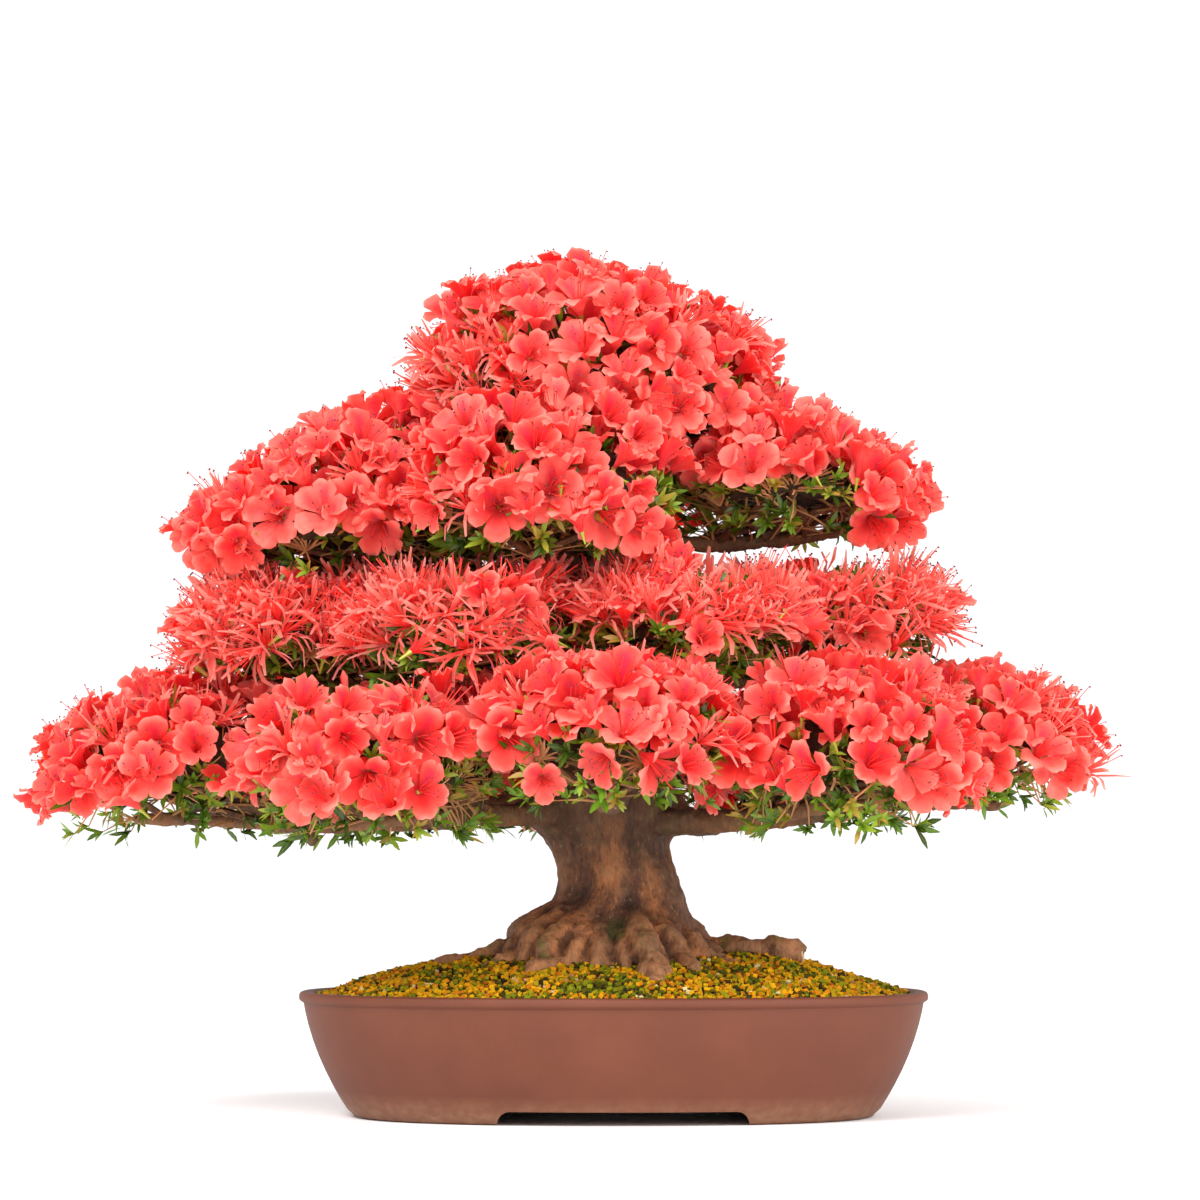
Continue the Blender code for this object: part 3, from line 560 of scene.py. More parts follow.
def trunkRow(height):
    for lower, upper in zip(trunkRows, trunkRows[1:]):
        if lower[0] <= height <= upper[0]:
            share = (height - lower[0]) / (upper[0] - lower[0])
            return [a + (b - a) * share for a, b in zip(lower, upper)]
    return list(trunkRows[-1])


trunkRows = [  # height, centre, half width, half depth
    (78, 0, 58, 50), (104, -2, 92, 84), (118, -3, 94, 86), (130, -4, 89, 81), (137, -3, 85, 75), (145, -4, 77, 68),
    (153, -3, 70, 61), (160, 0, 63, 55), (166, 4, 56, 51), (173, 7, 51.5, 48), (185, 4.5, 48.5, 45), (202, 0, 45.5, 43),
    (214, -4, 47.5, 43), (226, -6, 54, 45), (235, -8, 68, 48), (246, -9, 72, 50), (260, -11, 54, 44), (290, -13, 36, 34),
    (360, -18, 29, 27), (440, -20, 23, 21), (534, -18, 10, 10),
]


def branchLine(name):
    middle, half, (level, split, top), _, _ = sprays[name]
    foot = level - {"crown": 70, "low_front": -28, "low_left": -17, "low_front_left": -18, "low_back_left": -7}.get(name, 14)
    start = Vector((trunkRow(foot)[1], 0, foot))
    towards = Vector((middle[0] - start.x, middle[1], 0))
    reach = towards.length + 0.45 * min(half)
    towards.normalize()
    across = Vector((-towards.y, towards.x, 0))
    line = []
    for step in range(15):
        share = step / 14
        bow = 10 * math.sin(share * 5 + middle[0]) * min(1, 3 * share)
        height = foot + (level - foot) * min(1, 1.5 * share) + 4 * math.sin(share * 7 + middle[1])
        spot = start + towards * reach * share + across * bow
        line.append(Vector((spot.x, spot.y, height)))
    return line


# the wood

woodLook = dict(grain=2.5, kept=0.63)  # mm between the points of the surface, and the share of them kept
roots = [  # bearing in degrees, reach, thickness at the trunk and at the tip, sawn off or not, lift of the tip
    (358, 150, 12, 11.5, True, 5), (323, 118, 12, 8, False, 0), (306, 118, 13, 8, False, 0), (287, 124, 16, 12, False, 0),
    (238, 118, 14, 8, False, -1), (212, 120, 12, 6, False, -2), (186, 148, 11, 5, False, -2), (140, 116, 15, 7, False, 0),
    (92, 110, 16, 8, False, 0), (44, 112, 15, 7, False, 0),
]
# the trunk's ribs end low down in rounded toes: place in mm and radius
toes = [(-52, -66, 134, 11), (-33, -74, 130, 8), (-12, -78, 132, 8), (9, -82, 127, 6), (-66, -50, 138, 12),
        (-76, -28, 136, 11), (26, -84, 134, 12), (52, -66, 132, 9), (68, -46, 134, 9), (-30, 74, 138, 11), (40, 72, 136, 10),
         (-72, 40, 140, 11), (74, 36, 138, 10)]


def soilTop(x, y):
    return 94 + 37 * max(0, 1 - (abs(x) / 238) ** 3.2 - (abs(y) / 163) ** 1.9)


def tubeAlong(name, spots, radii, sides=3):  # a round rod with its own thickness at every point
    deselectAll()
    bpy.ops.curve.primitive_nurbs_path_add(radius=1, location=(0, 0, 0))
    rod = bpy.context.object
    rod.name = name
    spline = rod.data.splines[0]
    spline.points.add(len(spots) - len(spline.points))
    for point, spot, radius in zip(spline.points, spots, radii):
        point.co = (*world(spot), 1)
        point.radius = radius
    spline.order_u = 3
    spline.use_endpoint_u = True
    rod.data.bevel_depth = mm
    rod.data.bevel_resolution = sides
    rod.data.use_fill_caps = True
    rod.data.resolution_u = 6
    pick(rod)
    bpy.ops.object.convert(target="MESH")
    return bpy.context.object


def buttress(angle):
    return np.max([np.cos((angle - math.radians(bearing)) / 2) ** 60 * thick / 19
                   for bearing, reach, thick, thin, sawn, lift in roots], axis=0)


def modelTrunk():
    deselectAll()
    bpy.ops.mesh.primitive_circle_add(vertices=80, radius=1, fill_type="NGON", location=(0, 0, 0.078))
    trunk = placed(bpy.context.object)
    heights = [78, 92, 106, 114, 122, 128, 134, 140, 146, 153, 161, 169, 177, 186, 196, 207, 218, 228, 238, 250, 264, 282,
               310, 345, 385, 430, 480, 534]
    bpy.ops.object.mode_set(mode="EDIT")
    bpy.ops.mesh.select_all(action="SELECT")
    for lower, upper in zip(heights, heights[1:]):
        bpy.ops.mesh.extrude_region_move(TRANSFORM_OT_translate={"value": (0, 0, (upper - lower) * mm)})
    bpy.ops.mesh.select_all(action="SELECT")
    bpy.ops.mesh.normals_make_consistent(inside=False)
    bpy.ops.object.mode_set(mode="OBJECT")

    def shape(co):
        height = co[:, 2] / mm
        rows = np.array(trunkRows, float)
        centre, wide, deep = [np.interp(height, rows[:, 0], rows[:, i]) for i in (1, 2, 3)]
        angle = np.arctan2(co[:, 1], co[:, 0])
        flare = np.clip((205 - height) / 90, 0, 1)
        flute = 1 - 0.12 * flare + 0.13 * flare * buttress(angle)
        flute += 0.035 * np.sin(3 * angle + 0.02 * height) + 0.025 * np.sin(7 * angle + 1)
        # the muscle of the old trunk, and the swelling low on its left
        flute += 0.03 * np.sin(5 * angle - 0.05 * height) * np.clip((height - 120) / 40, 0, 1)
        bulge = np.exp(-((np.abs(angle) - math.pi) / 0.5) ** 2 - ((height - 153) / 11) ** 2)
        flute += 0.15 * bulge
        co[:, 0] = (centre + wide * flute * np.cos(angle)) * mm + potCentre.x
        co[:, 1] = deep * flute * np.sin(angle) * mm + potCentre.y
        return co

    return moulded(trunk, shape)


def modelRoot(bearing, reach, thick, thin, sawn, lift):
    turn, spots, radii = math.radians(bearing), [], []
    for share in (0.15, 0.22, 0.32, 0.42, 0.51, 0.6, 0.7, 0.8, 0.9, 1.0):
        sway = 7 * math.sin(share * 6 + bearing)
        x = math.cos(turn) * reach * share - math.sin(turn) * sway
        y = math.sin(turn) * reach * share + math.cos(turn) * sway
        late = max(0, (share - 0.6) / 0.4)
        height = 150 - 40 * share if share < 0.5 else soilTop(x, y) + lift * late + (0 if sawn else 2 - 6 * late)
        wide = thick + (thin - thick) * float(np.interp(share, (0.22, 0.42, 0.6, 0.8, 1), (0, 0.3, 0.5, 0.8, 1)))
        if sawn and share > 0.65:
            height += 2.6 * math.cos((share - 0.7) * 30)
        elif share == 1.0:
            wide = thin * 0.5
        spots.append((x, y, height + 1.5 * math.sin(share * 17 + bearing)))
        radii.append(wide * (1 + 0.13 * math.sin(share * 23 + bearing * 2)))
    return tubeAlong("root", spots, radii)


def markHollows(piece, rounds):  # how deep each point lies in a hollow, in mm, kept in an attribute
    mesh, here = piece.data, coordinates(piece)
    count = len(here)
    ends = np.empty(len(mesh.edges) * 2, int)
    mesh.edges.foreach_get("vertices", ends)
    first, second = ends.reshape(-1, 2).T
    neighbours = np.maximum(np.bincount(first, minlength=count) + np.bincount(second, minlength=count), 1)
    soft = here.copy()
    for _ in range(rounds):
        sums = [np.bincount(first, soft[second, i], count) + np.bincount(second, soft[first, i], count) for i in range(3)]
        soft = np.stack(sums, axis=1) / neighbours[:, None]
    normals = np.empty(count * 3)
    mesh.vertices.foreach_get("normal", normals)
    depth = ((soft - here) * normals.reshape(-1, 3)).sum(axis=1) / mm
    mesh.attributes.new("hollow", "FLOAT", "POINT").data.foreach_set("value", depth)


def modelWood():
    parts = [modelTrunk()] + [modelRoot(*root) for root in roots]
    # finger roots and knobs between the big ones, as at the front of the trunk
    rng = random.Random(4)
    for bearing in (282, 288, 256, 262, 312, 318, 340, 226, 200, 168, 30, 70, 120, 160):
        turn = math.radians(bearing)
        spots, radii = [], []
        reach = rng.uniform(74, 104)
        for share in (0.45, 0.6, 0.72, 0.84, 0.93, 1.0):
            sway = 4 * math.sin(share * 9 + bearing)
            x = math.cos(turn) * reach * share - math.sin(turn) * sway
            y = math.sin(turn) * reach * share * 0.9 + math.cos(turn) * sway
            spots.append((x, y, max(soilTop(x, y) + 4 - 9 * max(0, share - 0.8) * 3, 176 - 74 * share)))
            radii.append(rng.uniform(6.5, 9.5) * (1.15 - 0.55 * share))
        parts.append(tubeAlong("finger", spots, radii))
    for x, y, z, size in toes:
        line = [(x * out, y * out, z + up) for out, up in ((0.4, 30), (0.62, 20), (0.86, 8), (1.02, -5), (1.1, -18))]
        parts.append(tubeAlong("toe", line, [size * 0.6, size * 0.8, size * 0.95, size * 0.95, size * 0.6]))
    # the stump of an old branch under the front left
    parts.append(tubeAlong("stump", [(-226, -118, 236), (-232, -121, 230), (-235, -123, 224), (-233, -124, 218), (-229, -124, 214)],
                           [8, 8, 7, 7, 5]))
    for name in sprays:
        thick, thin = branchSizes[name.split("_")[0]]
        line = branchLine(name)
        radii = [(thick + (thin - thick) * (i / 14) ** 0.7) * (1 + 0.09 * math.sin(i * 2.1 + len(name)))
                 for i in range(15)]
        parts.append(tubeAlong("limb", line, radii))
    wood = joined(parts, "trunkRootsAndBranches")
    applied(wood, "REMESH", mode="VOXEL", voxel_size=woodLook["grain"] * mm)
    applied(wood, "SMOOTH", factor=0.5, iterations=2)
    # the limbs flow into the trunk, while the roots keep their edges
    upper = wood.vertex_groups.new(name="upper")
    upper.add([i for i, co in enumerate(coordinates(wood)) if co[2] > 0.2], 1.0, "REPLACE")
    applied(wood, "SMOOTH", factor=0.6, iterations=6, vertex_group="upper")
    wood.vertex_groups.clear()
    # old roots are knobbly where they stand out of the soil
    lower = wood.vertex_groups.new(name="lower")
    lower.add([i for i, co in enumerate(coordinates(wood)) if co[2] < 0.152], 1.0, "REPLACE")
    knobs = bpy.data.textures.new("knobs", "CLOUDS")
    knobs.noise_scale = 13 * mm
    applied(wood, "DISPLACE", texture=knobs, strength=7 * mm, mid_level=0.5, texture_coords="GLOBAL", vertex_group="lower")
    wood.vertex_groups.clear()
    for size, depth in ((24, 4.5), (8, 2.4), (4, 0.8)):
        lumps = bpy.data.textures.new("lumps", "CLOUDS")
        lumps.noise_scale = size * mm
        lumps.noise_depth = 2
        applied(wood, "DISPLACE", texture=lumps, strength=depth * mm, mid_level=0.5, texture_coords="GLOBAL")
    applied(wood, "DECIMATE", ratio=woodLook["kept"])
    # the depth of each hollow, which drives the bark's painted shade
    markHollows(wood, 14)
    wood.data.materials.clear()
    wood.data.materials.append(bark)
    wood.data.shade_smooth()
    worn(wood, "bark", "wood")
    # the pale face where the right root was sawn off
    deselectAll()
    bpy.ops.mesh.primitive_cylinder_add(vertices=20, radius=10.5 * mm, depth=2 * mm, location=world((150.5, -7, 125)),
                                        rotation=(0.1, 1.5, 0))
    face = placed(bpy.context.object)
    face.name = "sawnRootFace"
    applied(face, "BEVEL", width=0.5 * mm, segments=2, limit_method="ANGLE")
    face.data.materials.append(sawnWood)
    smoothed(face, 40)
    worn(face, "bark")
    return wood


wood = modelWood()
print("wood", sum(len(p.vertices) - 2 for p in wood.data.polygons), "triangles")


# the pot

potLook = dict(length=500, depth=350, height=98, power=2.35, sides=144)


def wallInset(height):
    down = 1 - height / potLook["height"]
    return 2.4 + 39.6 * (0.3 * down + 0.7 * down ** 2)


def ovalStack(name, rows, sides, cap=True):  # rows of (inset from the oval, height), each extruded from the last
    deselectAll()
    bpy.ops.mesh.primitive_circle_add(vertices=sides, radius=1, fill_type="NGON" if cap else "NOTHING", location=(0, 0, 0))
    piece = bpy.context.object
    piece.name = name
    half = (potLook["length"] / 2, potLook["depth"] / 2)

    def oval(co):
        angle = np.arctan2(co[:, 1], co[:, 0])
        for axis, turned, size in ((0, np.cos(angle), half[0]), (1, np.sin(angle), half[1])):
            co[:, axis] = np.sign(turned) * np.abs(turned) ** (2 / potLook["power"])
            co[:, axis] *= (size - rows[0][0]) * mm
        co[:, 2] = rows[0][1] * mm
        return co

    moulded(piece, oval)
    bpy.ops.object.mode_set(mode="EDIT")
    bpy.ops.mesh.select_all(action="SELECT")
    for (inset, height), (nextInset, nextHeight) in zip(rows, rows[1:]):
        bpy.ops.mesh.extrude_region_move(TRANSFORM_OT_translate={"value": (0, 0, (nextHeight - height) * mm)})
        scale = [(side - nextInset) / (side - inset) for side in half]
        bpy.ops.transform.resize(value=(scale[0], scale[1], 1), center_override=(0, 0, nextHeight * mm))
    bpy.ops.mesh.select_all(action="SELECT")
    bpy.ops.mesh.normals_make_consistent(inside=False)
    bpy.ops.object.mode_set(mode="OBJECT")
    return piece


def modelPot():
    outside = [(66.5, 10), (66.0, 1.0), (65.2, 0.2), (63.5, 0), (46.0, 0), (43.6, 0.6), (42.4, 2.0)]
    outside += [(wallInset(h), h) for h in (6, 14, 24, 36, 48, 60, 72, 82, 89.5)]
    outside += [(1.2, 91.0), (0.3, 91.9), (0, 93.2), (0.1, 95.8), (0.9, 97.3), (2.4, 98), (8.6, 98), (10.4, 97.3),
                (11.6, 95.8), (13.2, 93)]
    outside += [(wallInset(h) + 12, h) for h in (80, 65, 50, 36, 28)] + [(wallInset(22) + 16, 22)]
    pot = ovalStack("ovalPot", outside, potLook["sides"])
    # an arch between the feet, front and back, with rounded shoulders
    deselectAll()
    bpy.ops.mesh.primitive_cube_add(size=1, location=(0.007, 0, 0), scale=(0.2, 0.5, 0.021))
    arch = placed(bpy.context.object)
    editVerts(arch, lambda co: co.z > 0)
    bpy.ops.transform.resize(value=(0.94, 1, 1), center_override=(0.007, 0, 0))
    bpy.ops.object.mode_set(mode="OBJECT")
    pick(arch)
    bpy.ops.object.mode_set(mode="EDIT")
    bpy.ops.mesh.select_mode(type="EDGE")
    bpy.ops.mesh.select_all(action="DESELECT")
    bpy.ops.object.mode_set(mode="OBJECT")
    for edge in arch.data.edges:
        ends = [arch.data.vertices[v].co for v in edge.vertices]
        edge.select = all(end.z > 0 for end in ends) and abs(ends[0].x - ends[1].x) < 0.001
    bpy.ops.object.mode_set(mode="EDIT")
    bpy.ops.mesh.bevel(offset=0.007, segments=5)
    bpy.ops.object.mode_set(mode="OBJECT")
    applied(pot, "BOOLEAN", operation="DIFFERENCE", object=arch, solver="EXACT")
    removed(arch)
    deselectAll()
    for x in (-92, 92):
        bpy.ops.mesh.primitive_cylinder_add(vertices=32, radius=0.013, depth=0.06, location=(x * mm, 0, 0.02))
        drill = placed(bpy.context.object)
        applied(pot, "BOOLEAN", operation="DIFFERENCE", object=drill, solver="EXACT")
        removed(drill)
        deselectAll()
    moulded(pot, lambda co: co + np.array(potCentre))
    pot.data.materials.clear()
    pot.data.materials.append(clay)
    smoothed(pot, 40)
    worn(pot, "pot_clay", "pot")
    return pot


pot = modelPot()
print("pot", sum(len(p.vertices) - 2 for p in pot.data.polygons), "triangles")


# soil and its grains

grainLayout = dict(spacing=4.3, sizes=(1.5, 1.8, 2.0, 2.1, 2.3, 2.7))  # mm


def modelSoil():
    rows = [(wallInset(h) + 12.6, h) for h in (39, 50, 65, 80)] + [(13.4, 93.5)]
    rows += [(13.4 + step * step * 0.42 + step * 2.2, 94) for step in range(1, 15)]
    earthMass = ovalStack("earthMound", rows, 120)
    half = (potLook["length"] / 2 - 12, potLook["depth"] / 2 - 12)

    def mound(co):
        top = co[:, 2] > 0.0936
        along, across = np.abs(co[:, 0]) / mm / half[0], np.abs(co[:, 1]) / mm / half[1]
        rise = 37 * np.clip(1 - along ** 3.2 - across ** 1.9, 0, 1)
        ripple = 1.4 * np.sin(co[:, 0] / mm * 0.09 + 1) * np.cos(co[:, 1] / mm * 0.11) * np.clip(rise / 15, 0, 1)
        sunk = 3.5 * np.clip(-co[:, 0] / mm / 150, 0, 1) * np.clip(rise / 10, 0, 1)
        sunk += 2.8 * np.exp(-((co[:, 0] / mm - 190) / 36) ** 2) * np.clip(rise / 10, 0, 1)
        co[:, 2] = np.where(top, (94 + rise + ripple - 1.5 - sunk) * mm, co[:, 2])
        return co + np.array(potCentre)

    moulded(earthMass, mound)
    earthMass.data.materials.clear()
    earthMass.data.materials.append(earth)
    smoothed(earthMass, 60)
    worn(earthMass, "soil", "soil")
    return earthMass


def modelGrain(seed):
    deselectAll()
    bpy.ops.mesh.primitive_cube_add(size=1.5, location=(0, 0, 0))
    grain = bpy.context.object
    rng = np.random.default_rng(seed)
    moulded(grain, lambda co: co * (1 + rng.uniform(-0.3, 0.3, co.shape)) * mm)
    grain.data.materials.append(grainClay)
    shape = shapeOf(grain)
    removed(grain)
    return shape


def onGround(bvh, x, y):
    start = world((x, y, 400))
    hit, normal, index, distance = bvh.ray_cast(start, Vector((0, 0, -1)))
    return hit, normal


def bvhOf(piece):
    points = [v.co.copy() for v in piece.data.vertices]
    return BVHTree.FromPolygons(points, [tuple(p.vertices) for p in piece.data.polygons])


soil = modelSoil()
soilSurface = bvhOf(soil)


def scatterGrains():
    rng = random.Random(11)
    shapes = [modelGrain(seed) for seed in (1, 2, 3)]
    groups = [([], []) for _ in shapes]
    power, gap = potLook["power"], grainLayout["spacing"]
    places = [(column * gap + (row % 2) * gap / 2, row * gap * 0.866) for column in range(-56, 57)
              for row in range(-44, 45)]
    for x, y in places:
        x, y = x + rng.uniform(-1.3, 1.3), y + rng.uniform(-1.3, 1.3)
        if (abs(x) / 236) ** power + (abs(y) / 161) ** power > 1 or math.hypot(x / 62, y / 52) < 1:
            continue
        hit, normal = onGround(soilSurface, x, y)
        if hit is None:
            continue
        size = rng.choice(grainLayout["sizes"])
        turn = Matrix.Rotation(rng.uniform(0, 6.28), 4, "X") @ Matrix.Rotation(rng.uniform(0, 6.28), 4, "Z")
        spread = Matrix.Diagonal((size, size * rng.uniform(0.75, 1.1), size * rng.uniform(0.65, 0.95), 1))
        matrix = Matrix.Translation(hit + Vector((0, 0, (size * 0.35 + rng.uniform(-0.6, 1.3)) * mm))) @ turn @ spread
        nearTrunk = math.hypot(x / 115, y / 90) < 1
        tone = rng.random()
        green = math.sin(x * 0.045 + 1.3) * math.cos(y * 0.05 + x * 0.02) + rng.uniform(-0.7, 0.7)
        if rng.random() < (0.6 if nearTrunk else 0.13):
            tone *= 0.22
        elif green > 0.66 or math.hypot((x + 22) / 22, (y + 134) / 13) < 1:
            tone = 0.08 + tone * 0.25
        else:
            tone = 0.3 + tone * 0.7
        which = rng.randrange(3)
        groups[which][0].append(matrix)
        groups[which][1].append(tone)
    grains = fused("soilGrains", [(shape, *group) for shape, group in zip(shapes, groups)])
    worn(grains, "soil")
    return grains


grains = scatterGrains()
print("soil and grains")


# petals, stamens, buds and leaves, each modelled once

bloomLook = dict(thickness=0.5)  # mm


def blank(across, along):  # a thin closed sheet whose two sides share their rim
    deselectAll()
    bpy.ops.mesh.primitive_grid_add(x_subdivisions=across, y_subdivisions=along, size=1, location=(0, 0, 0))
    sheet = bpy.context.object
    applied(sheet, "SOLIDIFY", thickness=0.02, offset=0)
    editVerts(sheet, lambda co: abs(co.x) > 0.499 or abs(co.y) > 0.499)
    bpy.ops.mesh.remove_doubles(threshold=0.021)
    bpy.ops.mesh.select_all(action="SELECT")
    bpy.ops.mesh.normals_make_consistent(inside=False)
    bpy.ops.object.mode_set(mode="OBJECT")
    return sheet


def bent(sheet, surface, thickness):  # lays the sheet over surface(u, v), in millimetres
    def shape(co):
        u, v, side = co[:, 0] * 2, co[:, 1] + 0.5, np.sign(np.round(co[:, 2], 4))
        here = surface(u, v)
        sideways, ahead = surface(u + 0.01, v) - here, surface(u, v + 0.01) - here
        normal = np.cross(sideways, ahead)
        normal /= np.maximum(np.linalg.norm(normal, axis=1, keepdims=True), 1e-9)
        return (here + normal * (side * thickness / 2)[:, None]) * mm

    return moulded(sheet, shape)


def roundPetalSurface(turn, kind, rng):
    reach, tip = {"open": (27, 27), "cupped": (22, 32), "flat": (29, 19)}[kind]
    reach *= rng.uniform(0.93, 1.06)
    tip += rng.uniform(-3.5, 3.5)
    phase, ruffle, roll = rng.uniform(0, 6), rng.uniform(1.2, 2.6), rng.uniform(0.5, 4.5)
    wideness, lean = rng.uniform(0.92, 1.06), rng.uniform(-0.09, 0.09)

    def surface(u, v):
        v = 1 - np.maximum(1 - v, 0) ** 1.22 + np.minimum(1 - v, 0) * -0.3
        knots = (0, 0.25, 0.5, 0.75, 0.9, 1.02)
        radius = np.interp(v, knots, (0.5, 5.2, 12.5, 20.5, 25, 27)) * reach / 27
        height = np.interp(v, knots, (0, 11.5, 20, 24.4, 25.4, 25)) * tip / 25
        spread = np.interp(v, knots, (36, 37, 39, 33, 26, 13)) * wideness
        angle = turn + lean * v + np.radians(u * spread)
        rim = np.clip(v, 0, 1.1) ** 2
        notch = 1.6 * np.exp(-(u / 0.3) ** 2) * np.clip((v - 0.8) / 0.2, 0, 1)
        radius = radius * (1 - 0.05 * u * u * v) - notch
        height = height + 0.9 * u * v - roll * u * u * rim + ruffle * np.sin(u * 4.6 + phase) * rim
        height = height - 2.5 * np.exp(-(u / 0.3) ** 2) * v - 0.35 * roll * np.clip((v - 0.75) / 0.25, 0, 1) ** 2
        return np.stack([radius * np.cos(angle), radius * np.sin(angle), height], axis=1)

    return surface


def strapPetalSurface(turn, rng):
    length, width = rng.uniform(25, 38), rng.uniform(1.0, 2.2)
    lean, curl = rng.uniform(0.05, 0.75), rng.uniform(-0.2, 1.15)
    twist, drift = rng.uniform(-1.4, 1.4), rng.uniform(-0.35, 0.35)

    def surface(u, v):
        # the petal leaves the tube at its own lean and curls on from there
        bend = lean + curl * np.clip(v, 0, 1.02) ** 1.5
        radius = 1.2 + length * v * np.sin(bend) * 0.93
        height = 1.5 + length * v * np.cos(bend * 0.9)
        half = width * np.interp(v, (0, 0.25, 0.6, 0.85, 1.02), (0.5, 0.6, 0.8, 1.05, 0.5))
        angle = turn + drift * v * v
        side, turnOver = u * half, twist * v
        x = radius * np.cos(angle) - side * np.sin(angle) * np.cos(turnOver)
        y = radius * np.sin(angle) + side * np.cos(angle) * np.cos(turnOver)
        return np.stack([x, y, height + side * np.sin(turnOver)], axis=1)

    return surface


def rodTemplate(name, material, sides, rows):  # a crooked rod from z 0 to 1, radius 1 at its foot
    deselectAll()
    bpy.ops.mesh.primitive_circle_add(vertices=sides, radius=1, fill_type="NGON", location=(0, 0, 0))
    rod = bpy.context.object
    rod.name = name
    bpy.ops.object.mode_set(mode="EDIT")
    bpy.ops.mesh.select_all(action="SELECT")
    for (height, size, dx, dy), (nextHeight, nextSize, nextX, nextY) in zip(rows, rows[1:]):
        step = (nextX - dx, nextY - dy, nextHeight - height)
        bpy.ops.mesh.extrude_region_move(TRANSFORM_OT_translate={"value": step})
        ratio = nextSize / size
        bpy.ops.transform.resize(value=(ratio, ratio, 1), center_override=(nextX, nextY, nextHeight))
    bpy.ops.mesh.select_all(action="SELECT")
    bpy.ops.mesh.normals_make_consistent(inside=False)
    bpy.ops.object.mode_set(mode="OBJECT")
    rod.data.materials.append(material)
    return rod


def between(first, last, radius):  # puts a rod template between two points, radius in metres
    along = last - first
    turn = along.to_track_quat("Z", "Y").to_matrix().to_4x4()
    return Matrix.Translation(first) @ turn @ Matrix.Diagonal((radius, radius, along.length, 1))


def curvedRod(name, material, points, radii, sides=3):  # a rod through given points, in millimetres
    deselectAll()
    bpy.ops.mesh.primitive_circle_add(vertices=sides, radius=radii[0] * mm, fill_type="NGON",
                                      location=[c * mm for c in points[0]])
    rod = placed(bpy.context.object)
    rod.name = name
    bpy.ops.object.mode_set(mode="EDIT")
    bpy.ops.mesh.select_all(action="SELECT")
    for i in range(1, len(points)):
        step = [(b - a) * mm for a, b in zip(points[i - 1], points[i])]
        bpy.ops.mesh.extrude_region_move(TRANSFORM_OT_translate={"value": step})
        ratio = radii[i] / radii[i - 1]
        bpy.ops.transform.resize(value=(ratio, ratio, ratio), center_override=[c * mm for c in points[i]])
    bpy.ops.mesh.select_all(action="SELECT")
    bpy.ops.mesh.normals_make_consistent(inside=False)
    bpy.ops.object.mode_set(mode="OBJECT")
    rod.data.materials.append(material)
    return rod


def modelStamens(rng):
    parts = []
    for i in range(6):
        turn = i * 1.05 + rng.uniform(-0.3, 0.3)
        pistil = i == 5
        lean, top, lift = rng.uniform(5, 9), 41 if pistil else rng.uniform(30, 37), 8 if pistil else 5
        points = [(0.6 * math.cos(turn), 0.6 * math.sin(turn), 6),
                  (0.6 * lean * math.cos(turn) + 1, 0.6 * lean * math.sin(turn), 20),
                  (lean * math.cos(turn) + lift, lean * 1.1 * math.sin(turn), top)]
        parts.append(curvedRod("stamen", filament, points, (0.5, 0.42, 0.36)))
        deselectAll()
        tip = [c * mm for c in points[-1]]
        bpy.ops.mesh.primitive_cone_add(vertices=3, radius1=0.95 * mm, radius2=0, depth=2.4 * mm, location=tip,
                                        rotation=(turn, 1.1, 0))
        head = placed(bpy.context.object)
        head.data.materials.append(anther)
        parts.append(head)
    return parts


def modelBloom(kind, seed, across=4, along=4, whole=True):  # not whole: the petals only
    rng = random.Random(seed)
    parts = []
    if kind == "strap":
        count = rng.choice((14, 15, 16)) if whole else 9
        for i in range(count):
            petal = blank(1, along)
            bent(petal, strapPetalSurface(i * 6.283 / count + rng.uniform(-0.5, 0.5), rng), 0.6)
            petal.data.materials.append(strapPetal)
            parts.append(petal)
    else:
        for i in range(5):
            petal = blank(across, along)
            bent(petal, roundPetalSurface(math.radians(90 + i * 72), kind, rng), bloomLook["thickness"])
            petal.data.materials.append(roundPetal)
            mark = petal.data.attributes.new("spot", "FLOAT", "POINT")
            strength = (1.0, 0.35, 0, 0, 0.35)[i]
            mark.data.foreach_set("value", [strength] * len(petal.data.vertices))
            parts.append(petal)
    if whole:
        parts += modelStamens(rng)
        parts.append(curvedRod("calyx", stalkGreen, [(0, 0, -9), (0, 0, -1.5), (0, 0, 2.5)], (0.8, 1.3, 2.4), 4))
    bloom = joined(parts, kind + "Bloom")
    bloom.data.shade_smooth()
    shape = shapeOf(bloom)
    removed(bloom)
    return shape


def modelBud():
    rows = [(0, 1, 0, 0), (0.3, 2.6, 0, 0), (0.7, 3.1, 0.02, 0), (1.0, 0.6, 0.05, 0)]
    bud = rodTemplate("bud", strapPetal, 6, rows)
    moulded(bud, lambda co: co * (1.1 * mm, 1.1 * mm, 17 * mm))
    bud.data.shade_smooth()
    shape = shapeOf(bud)
    removed(bud)
    return shape


def modelLeaf(length, width, arch):
    leaf = blank(1, 3)

    def surface(u, v):
        half = width / 2 * np.interp(v, (0, 0.33, 0.67, 1.02), (0.16, 0.88, 1.0, 0.12))
        rise = arch * np.sin(np.clip(v, 0, 1) * 2.6)
        return np.stack([u * half, v * length, rise + 0.9 * np.abs(u)], axis=1)

    bent(leaf, surface, 0.4)
    leaf.data.materials.append(waxyLeaf)
    leaf.data.shade_smooth()
    shape = shapeOf(leaf)
    removed(leaf)
    return shape


